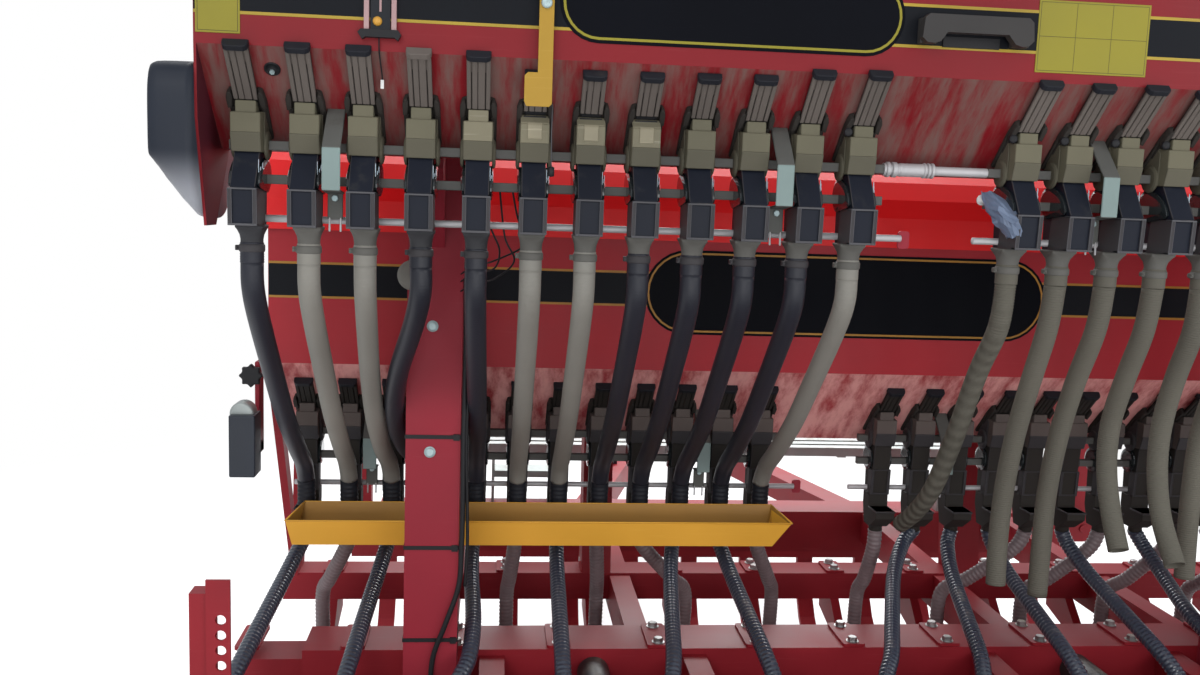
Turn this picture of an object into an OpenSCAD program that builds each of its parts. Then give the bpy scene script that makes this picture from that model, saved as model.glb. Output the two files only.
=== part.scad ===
// Trailed combination seed drill, three metres wide, with two hoppers and hanging hoses.
// X runs across the machine, +Y is the direction of travel, Z = 0 is the ground.

/* [Hoppers] */
// Room between the outermost unit's centre and the main hopper's end
main_end_room = 78; // [72:1:90]
// Depth of the main hopper, rear wall to front wall
main_d = 820; // [780:10:850]
// Height of the main hopper's rim
main_rim_z = 1700; // [1690:5:1760]
// Height where the main hopper's rear wall bends into its slope
main_bend_z = 1326; // [1320:2:1340]
// Vertical drop of the main hopper's rear slope
main_drop = 217; // [213:1:225]
// Room between the outermost unit's centre and the upper hopper's end
upper_end_room = 76; // [72:1:85]
// Depth of the upper hopper
upper_d = 480; // [470:1:486]
// Height of the upper hopper's rim
upper_rim_z = 2390; // [2300:10:2420]
// Height where the upper hopper's rear wall bends into its slope
upper_bend_z = 2001; // [1996:1:2006]
// Vertical drop of the upper hopper's rear slope
upper_drop = 179; // [170:1:182]
// Width of a hopper's flat bottom
bottom_w = 60; // [50:1:70]
// Thickness of the hopper and lid sheet
sheet = 3; // [2:0.5:4]
// Thickness of a hopper's end plates
end_plate_t = 5; // [4:0.5:6]

/* [Lids] */
// Rise of the main lid's arch above its edge
main_lid_rise = 210; // [150:5:230]
// Rise of the upper lid's arch above its edge
upper_lid_rise = 90; // [50:5:110]
// Height of a lid's skirt
skirt_h = 74; // [60:1:80]
// Gap between a lid's skirt and the hopper
lid_gap = 12; // [10:1:16]

/* [Metering units] */
// Distance between neighbouring metering units
unit_pitch = 108; // [106:0.5:109]
// Distance from the machine's centre to the innermost units
inner_unit_x = 170; // [160:1:176]
// Number of units on each side
units_side = 12; // [12]
// Width of a unit's housing
housing_w = 55; // [50:1:64]
// Width of the housing's neck
neck_w = 38; // [30:1:44]
// Width of a unit's outlet box
outlet_w = 45; // [40:1:48]
// Width of a shutter slide
slide_w = 40; // [36:1:46]
// Thickness of the plate between a unit and the hopper
guide_t = 8; // [6:1:10]
// How far a pulled shutter stands out along the slope
shutter_pull = 37; // [0:1:40]
// Side of the two square bars through the units
bar_w = 18; // [12:1:19]
// Diameter of the bright rod through the outlets
rod_d = 14; // [8:1:15]

/* [Hoses and tubes] */
// Outer diameter of the hoses
hose_d = 44; // [40:1:46]
// Outer diameter of the cuffs at the hose ends
cuff_d = 46; // [44:1:48]
// Length of a cuff
cuff_l = 70; // [50:5:75]
// Outer diameter of the seed tubes
seed_tube_d = 40; // [34:1:42]

/* [Trough] */
// Length of the trough's top edge
trough_l = 1265; // [1100:5:1300]
// Height of the trough
trough_h = 65; // [55:1:75]
// Depth of the trough at its top
trough_d = 100; // [80:1:104]

/* [Coulters] */
// Distance between neighbouring coulters over both rows
row_pitch = 125; // [124:0.5:126]
// Diameter of a coulter disc
disc_d = 400; // [360:5:410]
// Thickness of a coulter disc
disc_t = 5; // [4:0.5:6]
// Height of the disc axes with the drill raised
disc_axis_z = 320; // [300:5:330]
// Diameter of a disc's pin
disc_pin_d = 24; // [20:1:28]

/* [Wheels] */
// Diameter of a packer tyre
tyre_d = 650; // [640:2:660]
// Width of a packer tyre
tyre_w = 170; // [150:2:174]
// Diameter of a packer rim
rim_d = 410; // [390:5:430]
// Distance between neighbouring packer wheels
wheel_pitch = 250; // [246:1:252]
// Diameter of the wheel axles
axle_d = 70; // [60:2:76]
// Radial clearance of pins and axles in their bores
run_fit = 0.05; // [0.02:0.01:0.1]

/* [Frame] */
// Side of the square rear beam
beam_w = 150; // [140:5:156]
// Width of a box post under the upper hopper
post_w = 124; // [110:2:126]
// Front-to-back depth of a box post
post_d = 100; // [80:5:110]
// Top of the frame beams
frame_top_z = 650; // [640:2:656]

/* [Drawbar] */
// Height of the towing eye
eye_z = 540; // [500:5:600]
// Bore of the towing eye
eye_bore_d = 50; // [40:1:60]
// Thickness of the towing eye
eye_t = 30; // [25:1:45]
// Side of the drawbar's box beams
drawbar_w = 100; // [80:5:110]

/* [Hidden] */
$fn = 32;

// Colours
red = [0.68, 0.06, 0.08];
black = [0.06, 0.06, 0.07];
grey = [0.45, 0.44, 0.42];
beige = [0.50, 0.45, 0.34];
zinc = [0.72, 0.75, 0.74];
steel = [0.55, 0.56, 0.58];
yellow = [0.85, 0.62, 0.05];

// Places along Y, rear to front
wheel_y = -1980;
harrow_room = 135;
harrow_y = wheel_y - tyre_d / 2 - harrow_room;
wheel_tube_y = -1600;
upper_rear_y = -1556.5;
rear_disc_y = -1350;
post_y = -1160;
main_rear_y = -914;
front_disc_y = -720;
front_beam_y = -510;
head_beam_y = 150;
nose_y = 2300;
eye_y = 2610;

// Metering rows: the point on the slope where a unit sits
root2 = sqrt(2);
upper_row_in = 136;
main_row_in = 160;
upper_row = [upper_rear_y + upper_row_in, upper_bend_z - upper_row_in];
main_row = [main_rear_y + main_row_in, main_bend_z - main_row_in];
function unit_at(k) = inner_unit_x + k * unit_pitch;
left_units = [for (k = [units_side - 1:-1:0]) -unit_at(k)];
right_units = [for (k = [0:units_side - 1]) unit_at(k)];
units = concat(left_units, right_units);
row_end_x = unit_at(units_side - 1);
pulled_units = 5;

// Both hoppers reach past the row of units, and each post stands under one of its units
main_l = 2 * (row_end_x + main_end_room);
upper_l = 2 * (row_end_x + upper_end_room);
post_unit = 8;
post_in = 14;
post_x = unit_at(post_unit) - post_in;

// Heights inside a unit, counted from the slope point
bar_up_dz = -36;
bar_mid_dz = -100;
rod_dz = -175;
bar_dy = -22;
housing_dz = -50;
outlet_dz = -188;
funnel_dz = -260;
socket_dz = -221;
collector_dz = -276;
spigot_dz = -292;
cuff_dy = -80;
spigot_dy = -38;

// Coulters from left to right, alternately in the rear and the front row
row_count = 24;
rear_slot_x = [for (i = [0:2:row_count - 2]) (i - (row_count - 1) / 2) * row_pitch];
front_slot_x = [for (i = [1:2:row_count - 1]) (i - (row_count - 1) / 2) * row_pitch];
// For each coulter of a row: the unit that feeds it, and the tube's bow past the post
rear_feeds = [
  [0, 0], [2, 0], [4, 26], [6, 0], [9, 0], [10, 0], [13, 0], [14, 0], [15, 0], [17, 0],
  [19, -62], [21, 0]
];
front_feeds = [
  [1, 0], [3, 0], [5, 0], [7, 0], [8, 0], [11, 0], [12, 0], [16, 0], [18, 0], [20, 0],
  [22, 0], [23, 0]
];

// Vector helpers
function unit(v) = v / norm(v);
function left_of(v) = [-v[1], v[0]];

// Moves every side of a convex outline inwards by d
function inset(p, d) = [
  for (i = [0:len(p) - 1])
    let (a = p[(i + len(p) - 1) % len(p)], b = p[i], c = p[(i + 1) % len(p)])
    let (m = left_of(unit(b - a)), n = left_of(unit(c - b)))
    b + d * (m + n) / (1 + m * n)
];

// Smooth curve through the points, n steps between neighbours
function spline_point(a, b, c, d, t) =
  0.5 * (2 * b + (c - a) * t + (2 * a - 5 * b + 4 * c - d) * t * t
  + (3 * b - a - 3 * c + d) * t * t * t);
function smooth(p, n) = let (last = len(p) - 1) concat(
  [for (i = [0:last - 1]) for (s = [0:n - 1])
    spline_point(p[max(i - 1, 0)], p[i], p[i + 1], p[min(i + 2, last)], s / n)],
  [p[last]]);

// Round tube swept along a path that never runs along X; an end can be cut level
down = [0, 0, -1];
module swept(path, d, sides = 8, level_start = false, level_end = false) {
  last = len(path) - 1;
  rings = [for (i = [0:last])
    let (t = (i == 0 && level_start) || (i == last && level_end) ? down
      : unit(path[min(i + 1, last)] - path[max(i - 1, 0)]))
    let (u = unit([1, 0, 0] - t[0] * t), v = cross(t, u))
    for (a = [0:sides - 1])
      path[i] + d / 2 * (cos(360 * a / sides) * u + sin(360 * a / sides) * v)];
  sides_of = [for (i = [0:last - 1]) for (a = [0:sides - 1])
    let (b = (a + 1) % sides, r = i * sides, s = (i + 1) * sides)
    each [[r + a, s + a, s + b], [r + a, s + b, r + b]]];
  start_cap = [for (a = [0:sides - 1]) a];
  end_cap = [for (a = [sides - 1:-1:0]) last * sides + a];
  polyhedron(rings, concat(sides_of, [start_cap], [end_cap]), convexity = 6);
}

// Outline in Y and Z, made w wide and centred on x = 0
module slab(w, outline) {
  rotate([90, 0, 90]) linear_extrude(w, center = true) polygon(outline);
}

// Box between two corners
module box(low, high) {
  translate(low) cube(high - low);
}

// Cylinder along X, centred
module rod_x(d, l) {
  rotate([0, 90, 0]) cylinder(d = d, h = l, center = true);
}

// Tube or rod from one point to another
module strut(a, b, d) {
  v = b - a;
  translate(a)
    rotate([0, acos(v[2] / norm(v)), atan2(v[1], v[0])])
      cylinder(d = d, h = norm(v));
}

module both_sides() {
  children();
  mirror([1, 0, 0]) children();
}

// Hopper shells
function hopper_outline(rear_y, bend_z, drop, depth, rim_z) = [
  [rear_y, bend_z],
  [rear_y + drop, bend_z - drop],
  [rear_y + drop + bottom_w, bend_z - drop],
  [rear_y + depth, bend_z - 2 * drop + depth - bottom_w],
  [rear_y + depth, rim_z],
  [rear_y, rim_z]
];
main_outline = hopper_outline(main_rear_y, main_bend_z, main_drop, main_d, main_rim_z);
upper_outline = hopper_outline(upper_rear_y, upper_bend_z, upper_drop, upper_d, upper_rim_z);

// Inside of a hopper, carried on past the rim
function open_inside(outline, rim_z) =
  [for (p = inset(outline, sheet)) p[1] > rim_z - 2 * sheet ? [p[0], rim_z + 10] : p];

module hopper(outline, l, rim_z) {
  difference() {
    slab(l, outline);
    slab(l - 2 * end_plate_t, open_inside(outline, rim_z));
  }
}

module upper_hopper() {
  color(red) union() {
    hopper(upper_outline, upper_l, upper_rim_z);
    // End plates run on below the slope to a low tip
    for (x = [-1, 1])
      translate([x * (upper_l - end_plate_t) / 2, 0, 0])
        slab(end_plate_t, end_tip);
    hopper_knuckles(upper_lid_y[1], upper_rear_y + upper_d, upper_rim_z + lid_lift, upper_l);
  }
}
tip_drop = 148;
end_tip = [
  [upper_rear_y, upper_bend_z],
  [upper_rear_y + 4, upper_bend_z - 130],
  [upper_rear_y + 60, upper_bend_z - upper_drop - tip_drop],
  [upper_rear_y + 130, upper_bend_z - upper_drop - tip_drop],
  [upper_rear_y + upper_drop + bottom_w, upper_bend_z - upper_drop]
];

module main_hopper() {
  color(red) union() {
    hopper(main_outline, main_l, main_rim_z);
    hopper_knuckles(main_lid_y[1], main_rear_y + main_d, main_rim_z + lid_lift, main_l);
  }
}

// Lid: an arched sheet with a skirt all round
arch_steps = 14;
function arch(y0, y1, z, rise) =
  [for (i = [0:arch_steps]) let (a = 180 * i / arch_steps)
    [(y0 + y1) / 2 - (y1 - y0) / 2 * cos(a), z + rise * sin(a)]];
function lid_outline(y0, y1, edge_z, rise) =
  concat([[y1, edge_z - skirt_h]], [for (i = [arch_steps:-1:0]) arch(y0, y1, edge_z, rise)[i]],
    [[y0, edge_z - skirt_h]]);

module lid(y0, y1, edge_z, rise, l) {
  difference() {
    slab(l, lid_outline(y0, y1, edge_z, rise));
    slab(l - 2 * sheet, lid_outline(y0 + sheet, y1 - sheet, edge_z - sheet, rise - 0.5));
  }
}
lid_lift = 28;
hinge_d = 16;
main_lid_y = [main_rear_y - lid_gap - sheet, main_rear_y + main_d + lid_gap + sheet];
upper_lid_y = [upper_rear_y - lid_gap - sheet, upper_rear_y + upper_d + lid_gap + sheet];

// Hinges in front of the lid: a pin across two knuckles of the hopper, through the lid's barrel
hinge_out = 4;
hinge_drop = 10;
knuckle_d = 12;
knuckle_l = 30;
barrel_l = 90;
hinge_pin_d = 8;
hinge_gap = 2;
hinge_at = [-0.4, 0, 0.4];
module lid_hinges(y, z, l) {
  for (x = hinge_at) translate([x * l, y + hinge_out, z - skirt_h - hinge_drop]) {
    rod_x(hinge_d, barrel_l);
    box([-barrel_l / 2, -hinge_out - sheet / 2, 0],
      [barrel_l / 2, hinge_d / 2 - hinge_out, hinge_drop + 20]);
  }
}
module lid_bores(y, z, l) {
  for (x = hinge_at) translate([x * l, y + hinge_out, z - skirt_h - hinge_drop])
    rod_x(hinge_pin_d + 2 * run_fit, barrel_l + 10);
}
module hopper_knuckles(y, wall_y, z, l) {
  root_y = wall_y - y - hinge_out - sheet / 2;
  for (x = hinge_at) translate([x * l, y + hinge_out, z - skirt_h - hinge_drop]) {
    rod_x(hinge_pin_d, barrel_l + 2 * (hinge_gap + knuckle_l));
    for (s = [-1, 1]) translate([s * (barrel_l / 2 + hinge_gap + knuckle_l / 2), 0, 0]) {
      rod_x(knuckle_d, knuckle_l);
      slab(knuckle_l, [
        [-knuckle_d / 2, 0], [root_y, -20], [root_y, -40], [knuckle_d / 2, 0]
      ]);
    }
  }
}
module hinged_lid(y, edge_z, rise, l) {
  color(red) difference() {
    union() {
      lid(y[0], y[1], edge_z, rise, l + 2 * (lid_gap + sheet));
      lid_hinges(y[1], edge_z, l);
    }
    lid_bores(y[1], edge_z, l);
  }
}
module upper_lid() {
  hinged_lid(upper_lid_y, upper_rim_z + lid_lift, upper_lid_rise, upper_l);
}
module main_lid() {
  hinged_lid(main_lid_y, main_rim_z + lid_lift, main_lid_rise, main_l);
}

// Metering units: local frame on the slope, y up the slope and z out of it
module on_slope(row, x) {
  translate([x, row[0], row[1]]) rotate([135, 0, 0]) children();
}
module at_row(row, x) {
  translate([x, row[0], row[1]]) children();
}
guide_w = 70;
module shutter(pull) {
  union() {
    translate([-guide_w / 2, -24, 0]) cube([guide_w, 124, guide_t]);
    for (s = [-1, 1])
      translate([s * (guide_w / 2 - 5) - 5, 62, 0]) cube([10, 38, guide_t + 12]);
    translate([-slide_w / 2, 76, guide_t - 1]) cube([slide_w, 86 + pull, 7]);
    for (s = [-1, 0, 1])
      translate([s * slide_w / 3 - 2, 84, guide_t]) cube([4, 76 + pull, 10]);
    translate([-slide_w / 2 - 3, 158 + pull, 2]) cube([slide_w + 6, 12, guide_t + 14]);
  }
}
module shutters(row, pulled) {
  color(grey) for (i = [0:len(units) - 1])
    on_slope(row, units[i]) shutter(i < pulled ? shutter_pull : 0);
}
module upper_shutters() {
  shutters(upper_row, pulled_units);
}
module main_shutters() {
  shutters(main_row, 0);
}

// Bars that run through a row of units, and the holes that let them through
bar_room = 0.5;
module square_bar(l, dz, grow) {
  translate([0, bar_dy, dz]) cube([l, bar_w + grow, bar_w + grow], center = true);
}
module round_rod(l, grow) {
  translate([0, bar_dy, rod_dz]) rod_x(rod_d + grow, l);
}
seat_dz = guide_t * root2;
module housing() {
  difference() {
    union() {
      slab(neck_w, [[-54, 54 - seat_dz], [-72, 44], [-72, 16], [-24, 24 - seat_dz]]);
      slab(housing_w, [
        [-38, 38 - seat_dz], [-76, 22], [-76, -13], [-66, housing_dz], [10, housing_dz],
        [10, -10 - seat_dz]
      ]);
    }
    square_bar(housing_w + 10, bar_up_dz, 2 * bar_room);
  }
}
module housings(row) {
  color(beige) for (x = units) at_row(row, x) housing();
}
module upper_housings() {
  housings(upper_row);
}
module main_housings() {
  housings(main_row);
}

frame_w = 53;
module outlet() {
  difference() {
    union() {
      slab(outlet_w, [[-60, housing_dz], [8, housing_dz], [8, -110], [4, outlet_dz], [-50, outlet_dz],
        [-54, -116]]);
      // Raised frame of the lower flap
      difference() {
        slab(frame_w, [[-55, -120], [-30, -120], [-30, outlet_dz], [-52, outlet_dz]]);
        slab(outlet_w - 8, [[-80, -125], [-52, -125], [-48, outlet_dz + 5], [-80, outlet_dz + 5]]);
      }
    }
    square_bar(frame_w + 10, bar_mid_dz, 2 * bar_room);
    round_rod(frame_w + 10, 2 * bar_room);
  }
}
module outlets(row) {
  color(black) for (x = units) at_row(row, x) outlet();
}
module upper_outlets() {
  outlets(upper_row);
}
module main_outlets() {
  outlets(main_row);
}

// Funnels of the upper row: square top, round spigot for the hose
module funnel() {
  h = outlet_dz - funnel_dz;
  intersection() {
    translate([0, bar_dy, funnel_dz]) cylinder(d1 = hose_d - 6, d2 = hose_d + 40, h = h);
    translate([-frame_w / 2, bar_dy - 29, funnel_dz]) cube([frame_w, 56, h]);
  }
}
module upper_funnels() {
  color(grey) for (x = units) at_row(upper_row, x) funnel();
}

// Collectors of the main row: fed by the unit above and by a hose in the rear socket
collector_w = 52;
module collector() {
  difference() {
    union() {
      slab(collector_w, [
        [-48, outlet_dz], [2, outlet_dz], [2, socket_dz], [-16, collector_dz], [-58, collector_dz],
        [cuff_dy - 26, socket_dz - 22], [cuff_dy - 26, socket_dz], [-50, socket_dz]
      ]);
      translate([0, spigot_dy, spigot_dz]) cylinder(d = seed_tube_d - 4, h = collector_dz - spigot_dz + 2);
    }
    translate([0, cuff_dy, socket_dz - 18]) cylinder(d = hose_d - 8, h = 20);
  }
}
module main_collectors() {
  color(black) for (x = units) at_row(main_row, x) collector();
}

bar_over = 40;
row_half = row_end_x + bar_over;
rod_gap = 90;
module row_bars(row) {
  at_row(row, 0) {
    for (s = [-1, 1]) {
      l = row_half - inner_unit_x + 60;
      translate([s * (row_half - l / 2), 0, 0]) square_bar(l, bar_up_dz, 0);
      translate([s * (row_half - l / 2), 0, 0]) square_bar(l, bar_mid_dz, 0);
      translate([s * (row_half + rod_gap) / 2, 0, 0]) round_rod(row_half - rod_gap, 0);
    }
  }
}
module upper_bars() {
  color(grey) row_bars(upper_row);
}
module main_bars() {
  color(grey) row_bars(main_row);
}

// Bright tube with clamps that joins the two upper bars in the middle
module bar_coupling() {
  l = 2 * (inner_unit_x - 60);
  sleeve_l = 0.55 * l;
  color(zinc) at_row(upper_row, 0) translate([0, bar_dy, bar_up_dz]) union() {
    rod_x(20, l);
    translate([(sleeve_l - l) / 2, 0, 0]) rod_x(26, sleeve_l);
    for (x = [6, 20, sleeve_l - 26, sleeve_l - 14, sleeve_l - 2]) translate([x - l / 2, 0, 0]) rod_x(30, 5);
  }
}

// Galvanised brackets that carry the bars
bracket_w = 34;
bracket_units = [1, 9, 13, 21];
bracket_t = 4;
module bracket() {
  slab(bracket_w, [
    [-38, 38], [-68, -30], [-68, -110], [-40, -118], [-40, -184], [-40 + bracket_t, -184],
    [-40 + bracket_t, -115], [bracket_t - 68, -107], [bracket_t - 68, -31], [bracket_t - 38, 34]
  ]);
}
module brackets(row) {
  color(zinc) for (i = bracket_units)
    at_row(row, (units[i] + units[i + 1]) / 2) bracket();
}
module upper_brackets() {
  brackets(upper_row);
}
module main_brackets() {
  brackets(main_row);
}

// Hose routes, left half: down and forward, then upright into the cuff
hose_start = [upper_row[0] + bar_dy, upper_row[1] + funnel_dz];
cuff_at = [main_row[0] + cuff_dy, main_row[1] + socket_dz + cuff_l];
// Steps along a held hose: y, z, share of the side bow
hose_steps = [
  [hose_start[0] + 6, hose_start[1] - 50, 0], [hose_start[0] + 58, 1488, 0.2], [-1240, 1350, 0.8],
  [-1110, 1232, 1], [-970, 1130, 0.8], [-880, 1070, 0.2]
];
function held_route(x, bow) = concat(
  [[x, hose_start[0], hose_start[1]]],
  [for (p = hose_steps) [x + bow * p[2], p[0], p[1]]],
  [[x, cuff_at[0], cuff_at[1]]]);
// Side bows of the hose that goes round the post and of its outer neighbour
hose_post_gap = 6;
hose_gap = 2;
post_bow = post_w / 2 - post_in + hose_post_gap + hose_d / 2;
next_bow = post_bow + hose_d + hose_gap - unit_pitch;
// Unit number, side bow, colour: 0 black, 1 grey
held_hoses = [
  [0, 0, 0], [1, 0, 1], [2, -next_bow, 1], [3, -post_bow, 0], [4, 4, 0], [5, 0, 1],
  [6, 0, 1], [7, 0, 0], [8, 0, 0], [9, 0, 0], [10, 0, 0], [11, 0, 1]
];
module held(shade) {
  for (h = held_hoses) if (h[2] == shade)
    swept(smooth(held_route(units[h[0]], h[1]), 2), hose_d, 8, true, true);
}
module black_hoses() {
  color(black) held(0);
}
module grey_hoses() {
  color(grey) held(1);
}
module hose_cuffs() {
  color(black) for (h = held_hoses)
    translate([units[h[0]], cuff_at[0], cuff_at[1] - cuff_l]) cylinder(d = cuff_d, h = cuff_l);
}

// Free hoses, right half: points y and z after the spigot, chosen by hand
free_routes = [
  [[-1425, 1510], [-1345, 1400], [-1255, 1240], [-1155, 1090], [-1055, 1000], [-970, 945]],
  [[-1425, 1510], [-1375, 1390], [-1325, 1260], [-1295, 1130], [-1285, 1010], [-1290, 900]],
  [[-1425, 1510], [-1365, 1390], [-1315, 1260], [-1285, 1120], [-1280, 990], [-1280, 870]],
  [[-1425, 1510], [-1375, 1400], [-1335, 1290], [-1335, 1190], [-1365, 1100], [-1410, 1020]],
  [[-1430, 1510], [-1385, 1400], [-1355, 1290], [-1355, 1190], [-1385, 1090], [-1450, 1000]],
  [[-1425, 1510], [-1375, 1390], [-1335, 1270], [-1325, 1150], [-1325, 1040], [-1330, 930]],
  [[-1425, 1510], [-1365, 1400], [-1325, 1280], [-1315, 1170], [-1325, 1060], [-1350, 960]],
  [[-1425, 1510], [-1375, 1390], [-1345, 1270], [-1335, 1150], [-1335, 1030], [-1340, 910]],
  [[-1425, 1510], [-1365, 1400], [-1315, 1290], [-1295, 1180], [-1295, 1070], [-1310, 960]],
  [[-1430, 1510], [-1385, 1390], [-1355, 1270], [-1345, 1150], [-1345, 1040], [-1350, 930]],
  [[-1425, 1510], [-1365, 1390], [-1325, 1270], [-1315, 1150], [-1325, 1030], [-1350, 920]],
  [[-1425, 1510], [-1375, 1400], [-1335, 1290], [-1325, 1180], [-1335, 1070], [-1360, 960]]
];
module free_hoses() {
  color(grey) for (i = [0:units_side - 1])
    let (x = right_units[i])
    swept(concat([[x, hose_start[0], hose_start[1]]], [for (p = free_routes[i]) [x, p[0], p[1]]]),
      hose_d, 8, true);
}

// Yellow calibration trough, open at the top, pointed at its right end
trough_rear_y = -980;
trough_mid_x = -752;
trough_z = 883;
trough_t = 2.5;
far_wall_rise = 20;
left_end_slant = 14;
right_end_slant = 46;
far_end_in = 30;
module trough_ends(l) {
  below = 10;
  grow = 1 + below / trough_h;
  top_z = trough_z + trough_h;
  translate([0, trough_rear_y + trough_d / 2, 0]) rotate([90, 0, 0])
    linear_extrude(trough_d + 20, center = true) polygon([
      [-l / 2 + left_end_slant * grow, trough_z - below], [l / 2 - right_end_slant * grow, trough_z - below],
      [l / 2, top_z], [l / 2 - far_end_in, top_z + trough_h], [far_end_in - l / 2, top_z + trough_h],
      [-l / 2, top_z]
    ]);
}
module trough() {
  outline = [
    [trough_rear_y + 12, trough_z], [trough_rear_y + trough_d - 14, trough_z],
    [trough_rear_y + trough_d, trough_z + trough_h + far_wall_rise],
    [trough_rear_y, trough_z + trough_h]
  ];
  hollow = [for (p = inset(outline, trough_t)) p[1] > trough_z + trough_h / 2 ? p + [0, 30] : p];
  color(yellow) translate([trough_mid_x, 0, 0]) difference() {
    intersection() {
      slab(trough_l + 20, outline);
      trough_ends(trough_l);
    }
    intersection() {
      slab(trough_l + 20, hollow);
      trough_ends(trough_l - 2 * trough_t);
    }
  }
}

// Seed tubes from the collector spigots to the coulters
tube_start = [main_row[0] + spigot_dy, main_row[1] + spigot_dz];
boot_top_z = 520;
// Steps along a tube: y, z, share of the way across to the slot, share of the bow
rear_tube_steps = [
  [-812, 838, 0.03, 0], [-900, 785, 0.12, 0.3], [-1060, 727, 0.35, 1], [-1180, 684, 0.6, 1],
  [-1240, 650, 0.92, 0.3], [-1290, 610, 1, 0]
];
front_tube_steps = [[-788, 820, 0.15, 0], [-745, 720, 0.7, 0], [-700, 660, 1, 0]];
rear_boot_y = -1310;
front_boot_y = -690;
boot_shift = 24;
function tube_route(x, bow, slot, steps, boot_y) = let (end_x = slot - boot_shift) concat(
  [[x, tube_start[0], tube_start[1]]],
  [for (p = steps) [x + (end_x - x) * p[2] + bow * p[3], p[0], p[1]]],
  [[end_x, boot_y, boot_top_z]]);
module seed_tubes(feeds, slot_x, steps, boot_y) {
  for (n = [0:len(feeds) - 1])
    swept(tube_route(units[feeds[n][0]], feeds[n][1], slot_x[n], steps, boot_y), seed_tube_d, 8,
      true, true);
}
module rear_seed_tubes() {
  color(black) seed_tubes(rear_feeds, rear_slot_x, rear_tube_steps, rear_boot_y);
}
module front_seed_tubes() {
  color(grey) seed_tubes(front_feeds, front_slot_x, front_tube_steps, front_boot_y);
}

// Thin cable tied to the inner edge of the left post
cable_d = 9;
post_cable_route = [
  [-952, post_y - 4, 1560], [-950, post_y - 6, 1430], [-950, post_y - 6, 1300], [-951, post_y - 6, 1180],
  [-950, post_y - 6, 1060], [-951, post_y - 6, 940], [-956, post_y - 8, 850], [-985, post_y - 14, 760],
  [-1012, post_y - 10, 680], [-1018, post_y - 10, 600]
];
module post_cable() {
  color(black) swept(post_cable_route, cable_d, 6);
}

// Black cover over the drive at the upper hopper's left end
cover_w = 75;
cover_d = 308;
cover_h = 274;
cover_top_z = upper_bend_z - 29;
cover_corner = 52;
module end_cover() {
  x0 = -upper_l / 2;
  y0 = upper_rear_y + 6;
  low_z = cover_top_z - cover_h;
  color(black) union() {
    translate([x0 - cover_w / 2, 0, 0]) slab(cover_w, [
      [y0 + 14, cover_top_z - 12], [y0, cover_top_z - cover_corner], [y0, low_z + 90], [y0 + 64, low_z],
      [y0 + cover_d - 70, low_z], [y0 + cover_d, low_z + 90], [y0 + cover_d, cover_top_z - cover_corner],
      [y0 + cover_d - 60, cover_top_z], [y0 + cover_corner, cover_top_z]
    ]);
    translate([x0 - cover_w, y0 + cover_d / 2, cover_top_z - cover_corner]) rod_x(22, 16);
  }
}

// Gearbox, bracket and knob at the main hopper's left end
gearbox_w = 60;
gearbox_d = 70;
gearbox_h = 148;
gearbox_y = main_rear_y - 146;
gearbox_z = main_bend_z - 252;
knob_y = main_rear_y + 14;
knob_z = main_bend_z - 29;
knob_d = 56;
module drive_box() {
  x0 = -main_l / 2;
  arm_z = gearbox_z + 26;
  color(black) union() {
    box([x0 - 2 - gearbox_w, gearbox_y, gearbox_z], [x0 - 2, gearbox_y + gearbox_d, gearbox_z + gearbox_h]);
    box([x0 - 30, gearbox_y + gearbox_d - 10, arm_z], [x0 - 20, knob_y + 20, arm_z + 30]);
    box([x0 - 30, knob_y - 30, arm_z], [x0 - 20, knob_y + 20, knob_z + 33]);
    translate([x0 - 34, knob_y, knob_z]) rod_x(16, 28);
    translate([x0 - 44, knob_y, knob_z]) rotate([0, 90, 0])
      cylinder(d = knob_d, h = 16, center = true, $fn = 7);
  }
}

// Fittings on the rear faces, placed by their height over each face's bend
label_t = 2;
// Label plates: left end, right end, height over the bend, own height
upper_label = [-780, -126, 33, 147];
main_label = [-513, 538, 93, 213];
module label_plate(label, bend_z, y) {
  z = bend_z + label[2];
  r = label[3] / 2;
  for (x = [label[0] + r, label[1] - r])
    translate([x, y, z + r]) rotate([90, 0, 0]) cylinder(r = r, h = label_t);
  box([label[0] + r, y - label_t, z], [label[1] - r, y, z + label[3]]);
}
// Handle: left end, length, height over the bend, own height, reach
handle_x = -102;
handle_l = 218;
handle_rise = 59;
handle_h = 54;
handle_out = 34;
handle_end = 34;
module handle(y) {
  z = upper_bend_z + handle_rise;
  bar_rise = 0.4 * handle_h;
  difference() {
    translate([handle_x, y, z]) rotate([90, 0, 0]) linear_extrude(handle_out) polygon([
      [0, 10], [10, 0], [handle_end, 0], [handle_end + 24, bar_rise],
      [handle_l - handle_end - 14, bar_rise], [handle_l - handle_end, 0], [handle_l - 10, 0], [handle_l, 14],
      [handle_l - 4, handle_h - 4], [handle_l - 12, handle_h], [12, handle_h], [4, handle_h - 4]
    ]);
    // Room for the fingers behind the bar
    box([handle_x + handle_end, y - handle_out + 10, z - 1],
      [handle_x + handle_l - handle_end, y + 1, z + handle_h - 8]);
  }
}
window_x = -1133;
window_w = 58;
window_rise = 19;
window_h = 172;
lever_x = -792;
lever_rise = -89;
lever_l = 246;
lever_t = 4;
lever_off = 18;
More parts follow.
